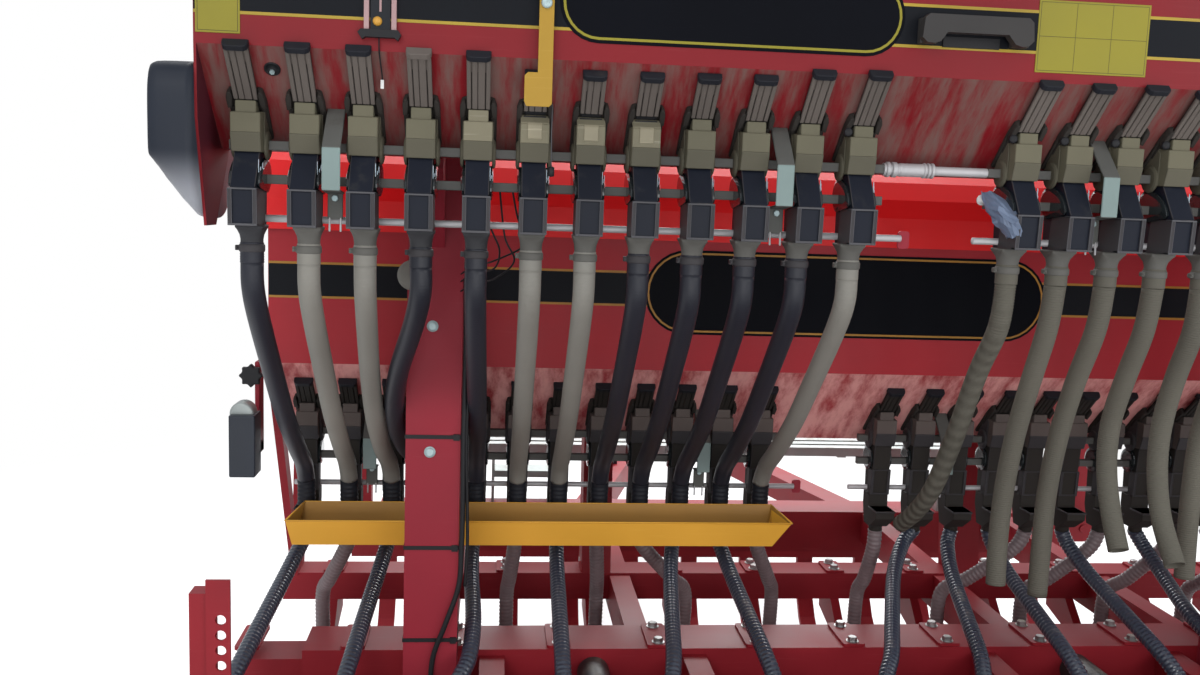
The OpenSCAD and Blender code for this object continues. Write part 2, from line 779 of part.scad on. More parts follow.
module face_fittings() {
  y = upper_rear_y;
  window_z = upper_bend_z + window_rise;
  lever_z = upper_bend_z + lever_rise;
  color(black) {
    label_plate(upper_label, upper_bend_z, y);
    label_plate(main_label, main_bend_z, main_rear_y);
    handle(y);
  }
  // Sight window rails and foot
  color(black) union() {
    box([window_x, y - 12, window_z], [window_x + window_w, y, window_z + 14]);
    for (x = [window_x, window_x + window_w - 10])
      box([x, y - 8, window_z + 7], [x + 10, y, window_z + window_h]);
    box([window_x + 10, y - 3, window_z + 7], [window_x + window_w - 10, y, window_z + window_h]);
  }
  // Hanging lever with an L foot
  color(yellow) union() {
    box([lever_x - 26, y - lever_off - lever_t, lever_z + 60], [lever_x, y - lever_off, lever_z + lever_l]);
    box([lever_x - 52, y - lever_off - lever_t, lever_z], [lever_x, y - lever_off, lever_z + 61]);
    translate([lever_x - 13, y - lever_off - lever_t, lever_z + lever_l - 44]) rotate([-90, 0, 0])
      cylinder(d = 14, h = lever_off + lever_t);
  }
}

// Frame: beams, rails and hopper stands
front_beam_d = 100;
front_beam_h = 80;
head_beam_w = 150;
rail_w = 60;
rail_x = [4 * row_pitch, 8 * row_pitch];
rear_beam_y = post_y + post_d;
frame_low_z = frame_top_z - beam_w;
stand_t = 20;
// Reach of the beams: past the hopper's end stands, and how much shorter two of them are
frame_end = 24;
rear_beam_short = 150;
head_beam_short = 200;
frame_half = main_l / 2 + stand_t + frame_end;
rear_beam_half = frame_half - rear_beam_short;
head_beam_half = frame_half - head_beam_short;
slope_stand_w = 86;
slope_stand_x = 570;
stand_lap = 60;
// Tops of the stands on the slopes, front edge and rear edge, behind the front wall
stand_back = [206, 326];
stand_top_y = [for (b = stand_back) main_rear_y + main_d - b];
end_stand_y = main_rear_y + 94;
end_stand_z = main_bend_z - 66;
front_slope_z = main_bend_z - 2 * main_drop - bottom_w - main_rear_y;
// Stand from the front beam up to the front slope, carried on by lap past the sheet
module front_stand(w, lap) {
  slab(w, [
    [front_beam_y, frame_top_z - 10], [front_beam_y + 100, frame_top_z - 10],
    [stand_top_y[0], front_slope_z + stand_top_y[0] + lap],
    [stand_top_y[1], front_slope_z + stand_top_y[1] + lap]
  ]);
}
module frame() {
  color(red) union() {
    box([-rear_beam_half, rear_beam_y, frame_low_z],
      [rear_beam_half, rear_beam_y + beam_w, frame_top_z]);
    box([-frame_half, rear_beam_y + 20, frame_low_z],
      [frame_half, rear_beam_y + beam_w - 20, frame_top_z - 30]);
    box([-frame_half, front_beam_y, frame_top_z - front_beam_h],
      [frame_half, front_beam_y + front_beam_d, frame_top_z]);
    box([-head_beam_half, head_beam_y, frame_low_z],
      [head_beam_half, head_beam_y + head_beam_w, frame_top_z]);
    both_sides() for (x = rail_x)
      box([x - rail_w / 2, rear_beam_y + 1, frame_top_z - 110],
        [x + rail_w / 2, head_beam_y + 1, frame_top_z - 6]);
    // Stands outside the end plates of the main hopper
    both_sides() translate([(main_l + stand_t) / 2, 0, 0]) {
      slab(stand_t, [
        [front_beam_y, frame_top_z - 10], [front_beam_y + 50, frame_top_z - 10],
        [end_stand_y + 50, end_stand_z], [end_stand_y, end_stand_z]
      ]);
      front_stand(stand_t, stand_lap);
    }
    // Stands under the front slope
    both_sides() translate([slope_stand_x, 0, 0]) front_stand(slope_stand_w, 0);
    // Ears for the marker arms' pins
    both_sides() for (y = marker_ear_y) difference() {
      union() {
        box([head_beam_half - 10, y, marker_z - 50], [marker_x, y + ear_t, marker_z + 50]);
        translate([marker_x, y + ear_t / 2, marker_z]) rotate([90, 0, 0])
          cylinder(d = 100, h = ear_t, center = true);
      }
      translate([marker_x, y, marker_z]) rotate([90, 0, 0])
        cylinder(d = marker_pin_d + 2 * run_fit, h = 200, center = true);
    }
  }
}

gusset_h = 350;
module rear_posts() {
  post_low_z = frame_low_z + 20;
  slope_z = upper_bend_z - 2 * upper_drop - bottom_w - upper_rear_y;
  front_y = upper_rear_y + upper_d;
  gusset_y = upper_rear_y + upper_drop + bottom_w + 20;
  color(red) both_sides() translate([post_x, 0, 0]) union() {
    slab(post_w, [
      [post_y, post_low_z], [post_y + post_d, post_low_z], [post_y + post_d, slope_z + front_y + 80],
      [front_y, slope_z + front_y + 80], [front_y, slope_z + front_y], [post_y, slope_z + post_y]
    ]);
    slab(40, [
      [post_y + 1, slope_z + post_y - 10], [post_y + 1, slope_z + post_y - gusset_h],
      [gusset_y, slope_z + gusset_y - 40], [gusset_y, slope_z + gusset_y]
    ]);
  }
}

// Coulters: arm from the beam, boss with bore, and seed boot
boss_d = 70;
boss_w = 30;
module coulter(axis_y, beam_y, boot_y, beam_h) {
  z = disc_axis_z;
  translate([-boot_shift, axis_y, z]) difference() {
    union() {
      rod_x(boss_d, boss_w);
      slab(boss_w - 4, [
        [-20, 20], [20, -30], [beam_y - axis_y, frame_top_z - beam_h - z - 90],
        [beam_y - axis_y + 110, frame_top_z - beam_h - z - 60],
        [beam_y - axis_y + 110, frame_top_z - beam_h - z],
        [beam_y - axis_y, frame_top_z - beam_h - z]
      ]);
      // Seed boot
      slab(boss_w, [
        [boot_y - axis_y - 24, boot_top_z - z], [boot_y - axis_y + 24, boot_top_z - z],
        [boot_y - axis_y + 10, 20], [-38, -150], [-78, -150], [-60, 0]
      ]);
    }
    rod_x(disc_pin_d + 2 * run_fit, boss_w + 10);
  }
}
module rear_coulters() {
  color(red) for (x = rear_slot_x)
    translate([x, 0, 0]) coulter(rear_disc_y, rear_beam_y, rear_boot_y, beam_w);
}
module front_coulters() {
  color(red) for (x = front_slot_x)
    translate([x, 0, 0]) coulter(front_disc_y, front_beam_y, front_boot_y, front_beam_h);
}
module disc() {
  union() {
    rod_x(disc_d, disc_t);
    translate([8, 0, 0]) rod_x(110, 14);
    translate([-boot_shift, 0, 0]) rod_x(disc_pin_d, 2 * boot_shift);
  }
}
module discs(axis_y, slot_x) {
  color(steel) for (x = slot_x)
    translate([x, axis_y, disc_axis_z]) disc();
}
module rear_discs() {
  discs(rear_disc_y, rear_slot_x);
}
module front_discs() {
  discs(front_disc_y, front_slot_x);
}

// Packer wheels: one gang of six on each side, carried in bearings between the wheels
wheel_z = tyre_d / 2;
gang_wheels = [0.5, 1.5, 2.5, 3.5, 4.5, 5.5];
bearing_at = [1, 3, 5];
bearing_d = 120;
bearing_w = 44;
tube_w = 120;
wheel_tube_half = frame_half - 20;
tube_z = 590;
side_post_w = 42;
side_post_x = wheel_tube_half - 15 - side_post_w / 2;
side_post_top_z = 990;
module wheel_frame() {
  color(red) difference() {
    union() {
      box([-wheel_tube_half, wheel_tube_y - tube_w / 2, tube_z - tube_w / 2],
        [wheel_tube_half, wheel_tube_y + tube_w / 2, tube_z + tube_w / 2]);
      for (s = [-1, 1]) for (n = bearing_at) translate([s * n * wheel_pitch, 0, 0]) {
        translate([0, wheel_y, wheel_z]) rod_x(bearing_d, bearing_w);
        slab(bearing_w, [
          [wheel_y - 30, wheel_z + 40], [wheel_y + 40, wheel_z - 40],
          [wheel_tube_y + 50, tube_z - 30], [wheel_tube_y - 10, tube_z + 50]
        ]);
      }
      // Rails forward to the rear beam, between the rear coulters
      for (s = [-1, 1]) for (x = [3, 7])
        box([s * x * row_pitch - rail_w / 2, wheel_tube_y, tube_z - 45],
          [s * x * row_pitch + rail_w / 2, rear_beam_y, tube_z + 45]);
      // Side posts with drilled plates
      both_sides() translate([side_post_x, wheel_tube_y, 0]) {
        box([-side_post_w / 2, 10, tube_z + 20], [side_post_w / 2, 10 + side_post_w, side_post_top_z]);
        difference() {
          box([-56, 4, tube_z + 20], [-side_post_w / 2 + 10, 10, side_post_top_z + 28]);
          for (i = [0:3]) translate([-38, 0, side_post_top_z - 50 - 30 * i])
            rotate([90, 0, 0]) cylinder(d = 20, h = 40, center = true);
        }
      }
    }
    for (s = [-1, 1])
      translate([s * 3 * wheel_pitch, wheel_y, wheel_z])
        rod_x(axle_d + 2 * run_fit, 6 * wheel_pitch - 20);
  }
}

tyre_h = (tyre_d - rim_d) / 2;
module tyre() {
  r = tyre_d / 2;
  w = tyre_w / 2;
  rotate([0, 90, 0]) rotate_extrude($fn = 48) polygon([
    [rim_d / 2, -w + 22], [rim_d / 2 + 12, -w + 10], [rim_d / 2 + tyre_h * 0.5, -w],
    [r - 34, -w + 4], [r - 12, -w + 14], [r, -w + 34],
    [r, -38], [r - 10, -34], [r - 10, -26], [r, -22],
    [r, 22], [r - 10, 26], [r - 10, 34], [r, 38],
    [r, w - 34], [r - 12, w - 14], [r - 34, w - 4],
    [rim_d / 2 + tyre_h * 0.5, w], [rim_d / 2 + 12, w - 10], [rim_d / 2, w - 22]
  ]);
}
module tyres(side) {
  color(black) for (n = gang_wheels)
    translate([side * n * wheel_pitch, wheel_y, wheel_z]) tyre();
}
module rim() {
  r = rim_d / 2;
  w = tyre_w / 2 - 24;
  rotate([0, 90, 0]) rotate_extrude($fn = 48) polygon([
    [axle_d / 2 - 2, -40], [60, -40], [70, -8], [r - 26, -6], [r - 8, -w], [r, -w],
    [r, w], [r - 8, w], [r - 24, 6], [70, 8], [60, 40], [axle_d / 2 - 2, 40]
  ]);
}
module rims(side) {
  color(steel) union() {
    for (n = gang_wheels) translate([side * n * wheel_pitch, wheel_y, wheel_z]) rim();
    translate([side * 3 * wheel_pitch, wheel_y, wheel_z]) rod_x(axle_d, 5.4 * wheel_pitch);
  }
}
module left_tyres() {
  tyres(-1);
}
module right_tyres() {
  tyres(1);
}
module left_rims() {
  rims(-1);
}
module right_rims() {
  rims(1);
}

// Cylinders between the rear beam and the wheel frame's cross tube
cylinder_x = 5 * row_pitch;
module lift_cylinders() {
  a = [0, rear_beam_y, tube_z];
  b = [0, wheel_tube_y + tube_w / 2, tube_z];
  color(grey) both_sides() translate([cylinder_x, 0, 0]) union() {
    strut(a, a + (b - a) * 0.6, 80);
    strut(a, b, 44);
  }
}

// Following harrow: a square bar on four arms, and its tines
harrow_z = 470;
harrow_bar_w = 60;
harrow_end = 43;
tine_pitch = 118;
tines_side = 12;
harrow_half = (tines_side - 0.5) * tine_pitch + harrow_end;
tine_d = 12;
// A tine: distance behind the bar's middle, and height against it
tine_path = [[-70, 0], [-94, -12], [-108, -40], [-112, -90], [-120, -150], [-150, -270], [-205, -360],
  [-240, -410]];
module harrow() {
  color(black) union() {
    box([-harrow_half, harrow_y - harrow_bar_w / 2, harrow_z - harrow_bar_w / 2],
      [harrow_half, harrow_y + harrow_bar_w / 2, harrow_z + harrow_bar_w / 2]);
    for (s = [-1, 1]) for (x = [2, 4]) translate([s * x * wheel_pitch, 0, 0])
      slab(24, [
        [wheel_tube_y - tube_w / 2, tube_z - 30], [wheel_tube_y - tube_w / 2, tube_z + 40],
        [harrow_y + 20, harrow_z + 40], [harrow_y + 20, harrow_z - 20]
      ]);
  }
}
module harrow_tines() {
  color(black) for (i = [0:tines_side - 1]) for (s = [-1, 1])
    translate([s * (i + 0.5) * tine_pitch, harrow_y, harrow_z])
      swept(concat([[0, -harrow_bar_w / 2, 0]], [for (p = tine_path) [0, p[0], p[1]]]), tine_d, 6);
}

// Levelling board in front of the coulters: a beam on four brackets, and its leaf tines
tool_y = 380;
tool_z = 400;
tool_w = 80;
tool_end = 135;
tool_bracket_x = [3.5 * row_pitch, 7.5 * row_pitch];
leaf_pitch = 230;
leaf_w = 60;
leaves_side = 6;
tool_half = (leaves_side - 0.5) * leaf_pitch + tool_end;
module tool_beam() {
  color(red) union() {
    box([-tool_half, tool_y, tool_z], [tool_half, tool_y + tool_w, tool_z + tool_w]);
    both_sides() for (x = tool_bracket_x) translate([x, 0, 0])
      slab(30, [
        [head_beam_y + head_beam_w, frame_low_z + 20], [head_beam_y + head_beam_w, frame_top_z - 20],
        [tool_y + tool_w - 10, tool_z + tool_w - 4], [tool_y + 10, tool_z + tool_w - 4]
      ]);
  }
}
module levelling_tines() {
  color(red) for (i = [0:leaves_side - 1]) for (s = [-1, 1])
    translate([s * (i + 0.5) * leaf_pitch, tool_y, tool_z]) slab(leaf_w, [
      [26, 0], [50, 0], [40, -120], [-30, -230], [-110, -304], [-128, -296], [-48, -222], [22, -118]
    ]);
}

// Drawbar: two beams that meet at the nose
drawbar_foot_x = 612;
drawbar_z = eye_z;
nose_half = 82;
nose_start_y = nose_y - 100;
nose_end_y = nose_y + 120;
drawbar_foot_y = head_beam_y + head_beam_w;
module drawbar() {
  side = [nose_half - drawbar_foot_x, nose_start_y - drawbar_foot_y];
  across = drawbar_w * norm(side) / side[1];
  inner_x = drawbar_foot_x - across;
  tip_x = 20;
  tip_y = drawbar_foot_y + (inner_x - tip_x) * side[1] / -side[0];
  color(red) translate([0, 0, drawbar_z - drawbar_w / 2]) linear_extrude(drawbar_w) difference() {
    polygon([
      [-drawbar_foot_x, drawbar_foot_y], [drawbar_foot_x, drawbar_foot_y], [nose_half, nose_start_y],
      [nose_half, nose_end_y], [-nose_half, nose_end_y], [-nose_half, nose_start_y]
    ]);
    polygon([
      [-inner_x, drawbar_foot_y], [-inner_x, drawbar_foot_y - 10], [inner_x, drawbar_foot_y - 10],
      [inner_x, drawbar_foot_y], [tip_x, tip_y], [-tip_x, tip_y]
    ]);
  }
}
eye_d = 130;
module towing_eye() {
  color(steel) difference() {
    union() {
      translate([0, eye_y, eye_z - eye_t / 2]) cylinder(d = eye_d, h = eye_t);
      box([-30, nose_end_y, eye_z - eye_t / 2], [30, eye_y - 30, eye_z + eye_t / 2]);
      box([-60, nose_end_y, eye_z - 40], [60, nose_end_y + 20, eye_z + 40]);
    }
    translate([0, eye_y, eye_z - eye_t]) cylinder(d = eye_bore_d, h = 2 * eye_t);
  }
}

// Parking jack on the left drawbar beam
jack_x = -350;
jack_y = 1500;
jack_w = 60;
jack_room = 1;
sleeve_t = 6;
sleeve_low_z = 380;
sleeve_top_z = 860;
leg_top_z = 490;
module jack_sleeve() {
  inner = jack_w + 2 * jack_room;
  outer = inner + 2 * sleeve_t;
  color(red) difference() {
    union() {
      translate([jack_x - outer / 2, jack_y - outer / 2, sleeve_low_z])
        cube([outer, outer, sleeve_top_z - sleeve_low_z]);
      for (s = [-1, 1]) translate([0, 0, drawbar_z + s * (drawbar_w / 2 + 5)])
        box([jack_x, jack_y - 30, -5], [jack_x + 160, jack_y + 30, 5]);
    }
    translate([jack_x - inner / 2, jack_y - inner / 2, sleeve_low_z - 1])
      cube([inner, inner, sleeve_top_z - sleeve_low_z - 9]);
  }
}
foot_w = 200;
module jack_leg() {
  color(zinc) union() {
    translate([jack_x - jack_w / 2, jack_y - jack_w / 2, 5])
      cube([jack_w, jack_w, leg_top_z - 5]);
    translate([jack_x - foot_w / 2, jack_y - foot_w / 2, 0]) cube([foot_w, foot_w, 12]);
  }
}

// Folding marker arms, stored upright
ear_reach = 52;
marker_x = head_beam_half + ear_reach;
marker_hub_l = 60;
ear_t = 20;
ear_gap = 5;
marker_y = 210;
marker_z = 590;
marker_top_z = 1640;
marker_pin_d = 30;
marker_ear_y = [marker_y - marker_hub_l / 2 - ear_gap - ear_t, marker_y + marker_hub_l / 2 + ear_gap];
marker_disc_d = 360;
module marker_arm() {
  translate([marker_x, marker_y, 0]) union() {
    translate([0, 0, marker_z]) rotate([90, 0, 0]) cylinder(d = 80, h = marker_hub_l, center = true);
    translate([0, 0, marker_z]) rotate([90, 0, 0])
      cylinder(d = marker_pin_d, h = marker_hub_l + 2 * (ear_gap + ear_t) + 10, center = true);
    box([-25, -25, marker_z], [25, 25, marker_top_z]);
    translate([0, 0, marker_top_z]) cylinder(d = marker_disc_d, h = 6, $fn = 48);
    translate([0, 0, marker_top_z - 20]) cylinder(d = 70, h = 50);
  }
}
module right_marker() {
  color(red) marker_arm();
}
module left_marker() {
  color(red) mirror([1, 0, 0]) marker_arm();
}

// Filling deck and steps in front of the main hopper
deck_z = 930;
deck_y = -30;
deck_t = 30;
slat_pitch = 60;
slat_w = 40;
slats = 5;
joist_pitch = 320;
joists_side = 3;
deck_end = 40;
deck_half = joists_side * joist_pitch + deck_end;
deck_post_x = deck_half - 220;
step_x = [120 - deck_half, 350 - deck_half];
step_front_y = 400;
step_z = [560, 730];
module platform() {
  far_y = deck_y + (slats - 1) * slat_pitch + slat_w;
  near_y = head_beam_y + head_beam_w;
  color(grey) union() {
    for (i = [0:slats - 1])
      box([-deck_half, deck_y + i * slat_pitch, deck_z - deck_t],
        [deck_half, deck_y + i * slat_pitch + slat_w, deck_z]);
    for (i = [-joists_side:joists_side])
      box([i * joist_pitch - 15, deck_y, deck_z - deck_t - 4], [i * joist_pitch + 15, far_y, deck_z - 12]);
    both_sides()
      box([deck_post_x - 20, far_y - 80, frame_top_z], [deck_post_x + 20, far_y - 20, deck_z - 20]);
    // Steps at the left end
    for (x = step_x) translate([x, 0, 0]) slab(10, [
      [far_y - 40, frame_top_z + 10], [near_y, frame_top_z + 10], [near_y, step_z[0]],
      [step_front_y, step_z[0]],
      [step_front_y, step_z[1] + 30], [far_y - 20, deck_z - 10], [far_y - 40, deck_z - 10]
    ]);
    for (z = step_z) box([step_x[0], near_y, z], [step_x[1], step_front_y, z + 24]);
  }
}

frame();
drawbar();
towing_eye();
jack_sleeve();
jack_leg();
rear_posts();
upper_hopper();
upper_lid();
main_hopper();
main_lid();
end_cover();
drive_box();
upper_shutters();
upper_housings();
upper_outlets();
upper_funnels();
upper_bars();
upper_brackets();
bar_coupling();
main_shutters();
main_housings();
main_outlets();
main_collectors();
main_bars();
main_brackets();
face_fittings();
black_hoses();
grey_hoses();
hose_cuffs();
free_hoses();
trough();
rear_seed_tubes();
front_seed_tubes();
post_cable();
rear_coulters();
front_coulters();
rear_discs();
front_discs();
wheel_frame();
left_rims();
left_tyres();
right_rims();
right_tyres();
lift_cylinders();
harrow();
harrow_tines();
tool_beam();
levelling_tines();
left_marker();
right_marker();
platform();
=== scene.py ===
import math
import random
from functools import partial

import bmesh
import bpy
from mathutils import Matrix, Vector


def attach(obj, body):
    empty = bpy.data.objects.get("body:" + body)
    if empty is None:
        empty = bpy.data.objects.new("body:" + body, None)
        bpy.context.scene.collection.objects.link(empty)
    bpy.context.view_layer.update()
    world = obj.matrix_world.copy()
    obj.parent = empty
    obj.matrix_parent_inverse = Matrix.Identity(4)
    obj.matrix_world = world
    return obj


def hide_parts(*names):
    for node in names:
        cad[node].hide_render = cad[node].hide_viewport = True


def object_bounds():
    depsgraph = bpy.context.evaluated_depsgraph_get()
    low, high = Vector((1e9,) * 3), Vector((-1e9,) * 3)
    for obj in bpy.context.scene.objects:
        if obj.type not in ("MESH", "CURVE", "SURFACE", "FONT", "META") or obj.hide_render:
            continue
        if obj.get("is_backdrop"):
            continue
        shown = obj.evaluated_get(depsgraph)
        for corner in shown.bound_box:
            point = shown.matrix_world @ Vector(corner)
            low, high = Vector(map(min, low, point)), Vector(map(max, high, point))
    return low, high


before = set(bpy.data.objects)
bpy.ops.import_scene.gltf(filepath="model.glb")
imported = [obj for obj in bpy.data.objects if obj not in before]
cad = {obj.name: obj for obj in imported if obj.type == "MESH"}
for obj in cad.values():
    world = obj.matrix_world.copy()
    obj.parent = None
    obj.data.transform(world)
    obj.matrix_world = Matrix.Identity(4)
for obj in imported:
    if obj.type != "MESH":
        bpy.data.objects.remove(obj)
cad_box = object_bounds()
scene = bpy.context.scene
random.seed(7)

# Camera, where the photographer stood: place in metres, lens in mm
CAMERA_AT, LENS, SENSOR = (-0.886, -3.6, 1.74), 32.44, 36.0
CAMERA_RIGHT, CAMERA_UP = (0.99503, -0.09352, 0.03425), (-0.02235, 0.12546, 0.99185)
CAMERA_BACK = (-0.09706, -0.98768, 0.12274)
lens = bpy.data.cameras.new("camera")
lens.sensor_width, lens.lens, lens.clip_end = SENSOR, LENS, 200
cam = bpy.data.objects.new("camera", lens)
scene.collection.objects.link(cam)
cam.matrix_world = Matrix([*zip(CAMERA_RIGHT, CAMERA_UP, CAMERA_BACK, CAMERA_AT), (0, 0, 0, 1)])
scene.camera = cam

# Places in metres: x of the units, then y and z of a row's units and y of its hopper's rear face
PITCH, INNER, HALF_ROW = 0.108, 0.17, 12
RIGHT = [INNER + k * PITCH for k in range(HALF_ROW)]
UNITS = [-x for x in reversed(RIGHT)] + RIGHT
UPPER, UP_FACE = (-1.4205, 1.865), -1.5565
MAIN, MAIN_FACE = (-0.754, 1.166), -0.914
HOSE_START, HOSE_D, CUFF_L = (UPPER[0] - 0.022, UPPER[1] - 0.26), 0.044, 0.07
CUFF_AT = (MAIN[0] - 0.08, MAIN[1] - 0.221 + CUFF_L)
SPIGOT_AT = (MAIN[0] - 0.038, MAIN[1] - 0.292)
ROW_PITCH, ARM_SHIFT = 0.125, -0.024
# Unit of the forms drawn in millimetres, and in it the bars' y from the middle of a row
MM, BAR_Y = 0.001, -22


# Materials
SOFT = {"interpolation_type": "SMOOTHSTEP"}


def fill(tree, node, sockets):
    """Sets a node's sockets to values, or links them to the outputs of other nodes."""
    for name, value in sockets.items():
        if isinstance(value, bpy.types.NodeSocket):
            tree.links.new(value, node.inputs[name])
        else:
            node.inputs[name].default_value = value


def shader(tree, kind, sockets, pick=None, **settings):
    """Adds a shader node and gives the picked output, or the first one in use."""
    node = tree.nodes.new("ShaderNode" + kind)
    for name, value in settings.items():
        setattr(node, name, value)
    fill(tree, node, sockets)
    return node.outputs[pick] if pick else next(out for out in node.outputs if out.enabled)


def surface(name, base, rough=0.5, dust=0.0, dust_scale=5.0, dust_light_and_shade_col=(0.3, 0.26, 0.21), spec=0.35,
            vary=0.18, metal=0.0, coat=0.0, up=0.25, under=0.0, stretch=(1, 1, 1), scratch=0.0, band=None,
            grain=0.0, grain_scale=400.0, ribs=None):
    """Painted, moulded or bare surface with uneven colour, dust, scratches and grain or ribs, and some
    painted light and shade.
    """
    mat = bpy.data.materials.new(name)
    mat.use_nodes = True
    add = partial(shader, mat.node_tree)

    def ramp(value, start, end, low, high, **settings):
        sockets = {"Value": value, "From Min": start, "From Max": end, "To Min": low, "To Max": high}
        return add("MapRange", sockets, **settings)

    def noise(place, scale, detail, roughness=0.5):
        return add("TexNoise", {"Vector": place, "Scale": scale, "Detail": detail, "Roughness": roughness})

    def part(vector, axis):
        return add("SeparateXYZ", {"Vector": vector}, axis)

    def tint(amount, colour, over):
        return add("Mix", {"Factor": amount, "A": colour, "B": (*over, 1)}, data_type="RGBA")

    place, normal = add("TexCoord", {}, "Object"), add("TexCoord", {}, "Normal")
    uneven = noise(place, 3.1, 6)
    shade = ramp(uneven, 0.3, 0.7, 1 - vary, 1 + vary)
    colour = add("VectorMath", {0: base, "Scale": shade}, operation="SCALE")
    roughness = ramp(uneven, 0.3, 0.7, max(0.03, rough - 0.08), min(1.0, rough + 0.08))
    if dust > 0 or under > 0:
        spots = noise(add("Mapping", {"Vector": place, "Scale": stretch}), dust_scale, 9, 0.68)
        value = add("Math", {0: part(normal, "Z"), 1: up, 2: spots}, operation="MULTIPLY_ADD")
        if under > 0:
            # Painted light and shade: the undersides take more of the dust colour, those that look forwards
            # less so; this stands for the shade and light that falls on them, not for dust
            below = ramp(part(normal, "Z"), -0.35, -0.65, 0.0, under)
            rearward = ramp(part(normal, "Y"), 0.2, -0.2, 0.45, 1.0)
            value = add("Math", {0: below, 1: rearward, 2: value}, operation="MULTIPLY_ADD")
        amount = ramp(value, 0.78 - 0.45 * dust, 1.12 - 0.45 * dust, 0.0, 0.92, **SOFT)
        colour = tint(amount, colour, dust_light_and_shade_col)
        roughness = add("Mix", {"Factor": amount, "A": roughness, "B": 0.85}, data_type="FLOAT")
    if scratch > 0:
        drawn_out = {"Vector": place, "Scale": (3, 60, 60), "Rotation": (0.3, 0.5, 0.2)}
        streaks = noise(add("Mapping", drawn_out), 3.0, 4)
        light = [min(1, c * 1.5 + 0.1) for c in base]
        colour = tint(ramp(streaks, 0.62, 0.72, 0.0, scratch), colour, light)
    if band:
        # Painted light and shade: a tint by height or on the rearward faces stands for light falling there,
        # one on the inner side of the end plates for shade
        kind, start, end, over, most = band
        if kind == "inner":
            value = add("Math", {0: part(place, "X"), 1: part(normal, "X")}, operation="MULTIPLY")
        else:
            value = part(place, "Z") if kind == "height" else part(normal, "Y")
        colour = tint(ramp(value, start, end, 0.0, most, **SOFT), colour, over)
    sockets = {"Base Color": colour, "Roughness": roughness, "Metallic": metal, "Coat Weight": coat,
               "Specular IOR Level": spec}
    if ribs:
        pitch, depth = ribs
        along = add("Attribute", {}, "Fac", attribute_name="along")
        phase = add("Math", {0: along, 1: 2 * math.pi / pitch}, operation="MULTIPLY")
        wave = add("Math", {0: phase}, operation="SINE")
        sockets["Normal"] = add("Bump", {"Distance": 0.002, "Strength": depth, "Height": wave})
    elif grain > 0:
        fine = noise(place, grain_scale, 3)
        sockets["Normal"] = add("Bump", {"Distance": 0.0006, "Strength": grain, "Height": fine})
    fill(mat.node_tree, mat.node_tree.nodes["Principled BSDF"], sockets)
    return mat
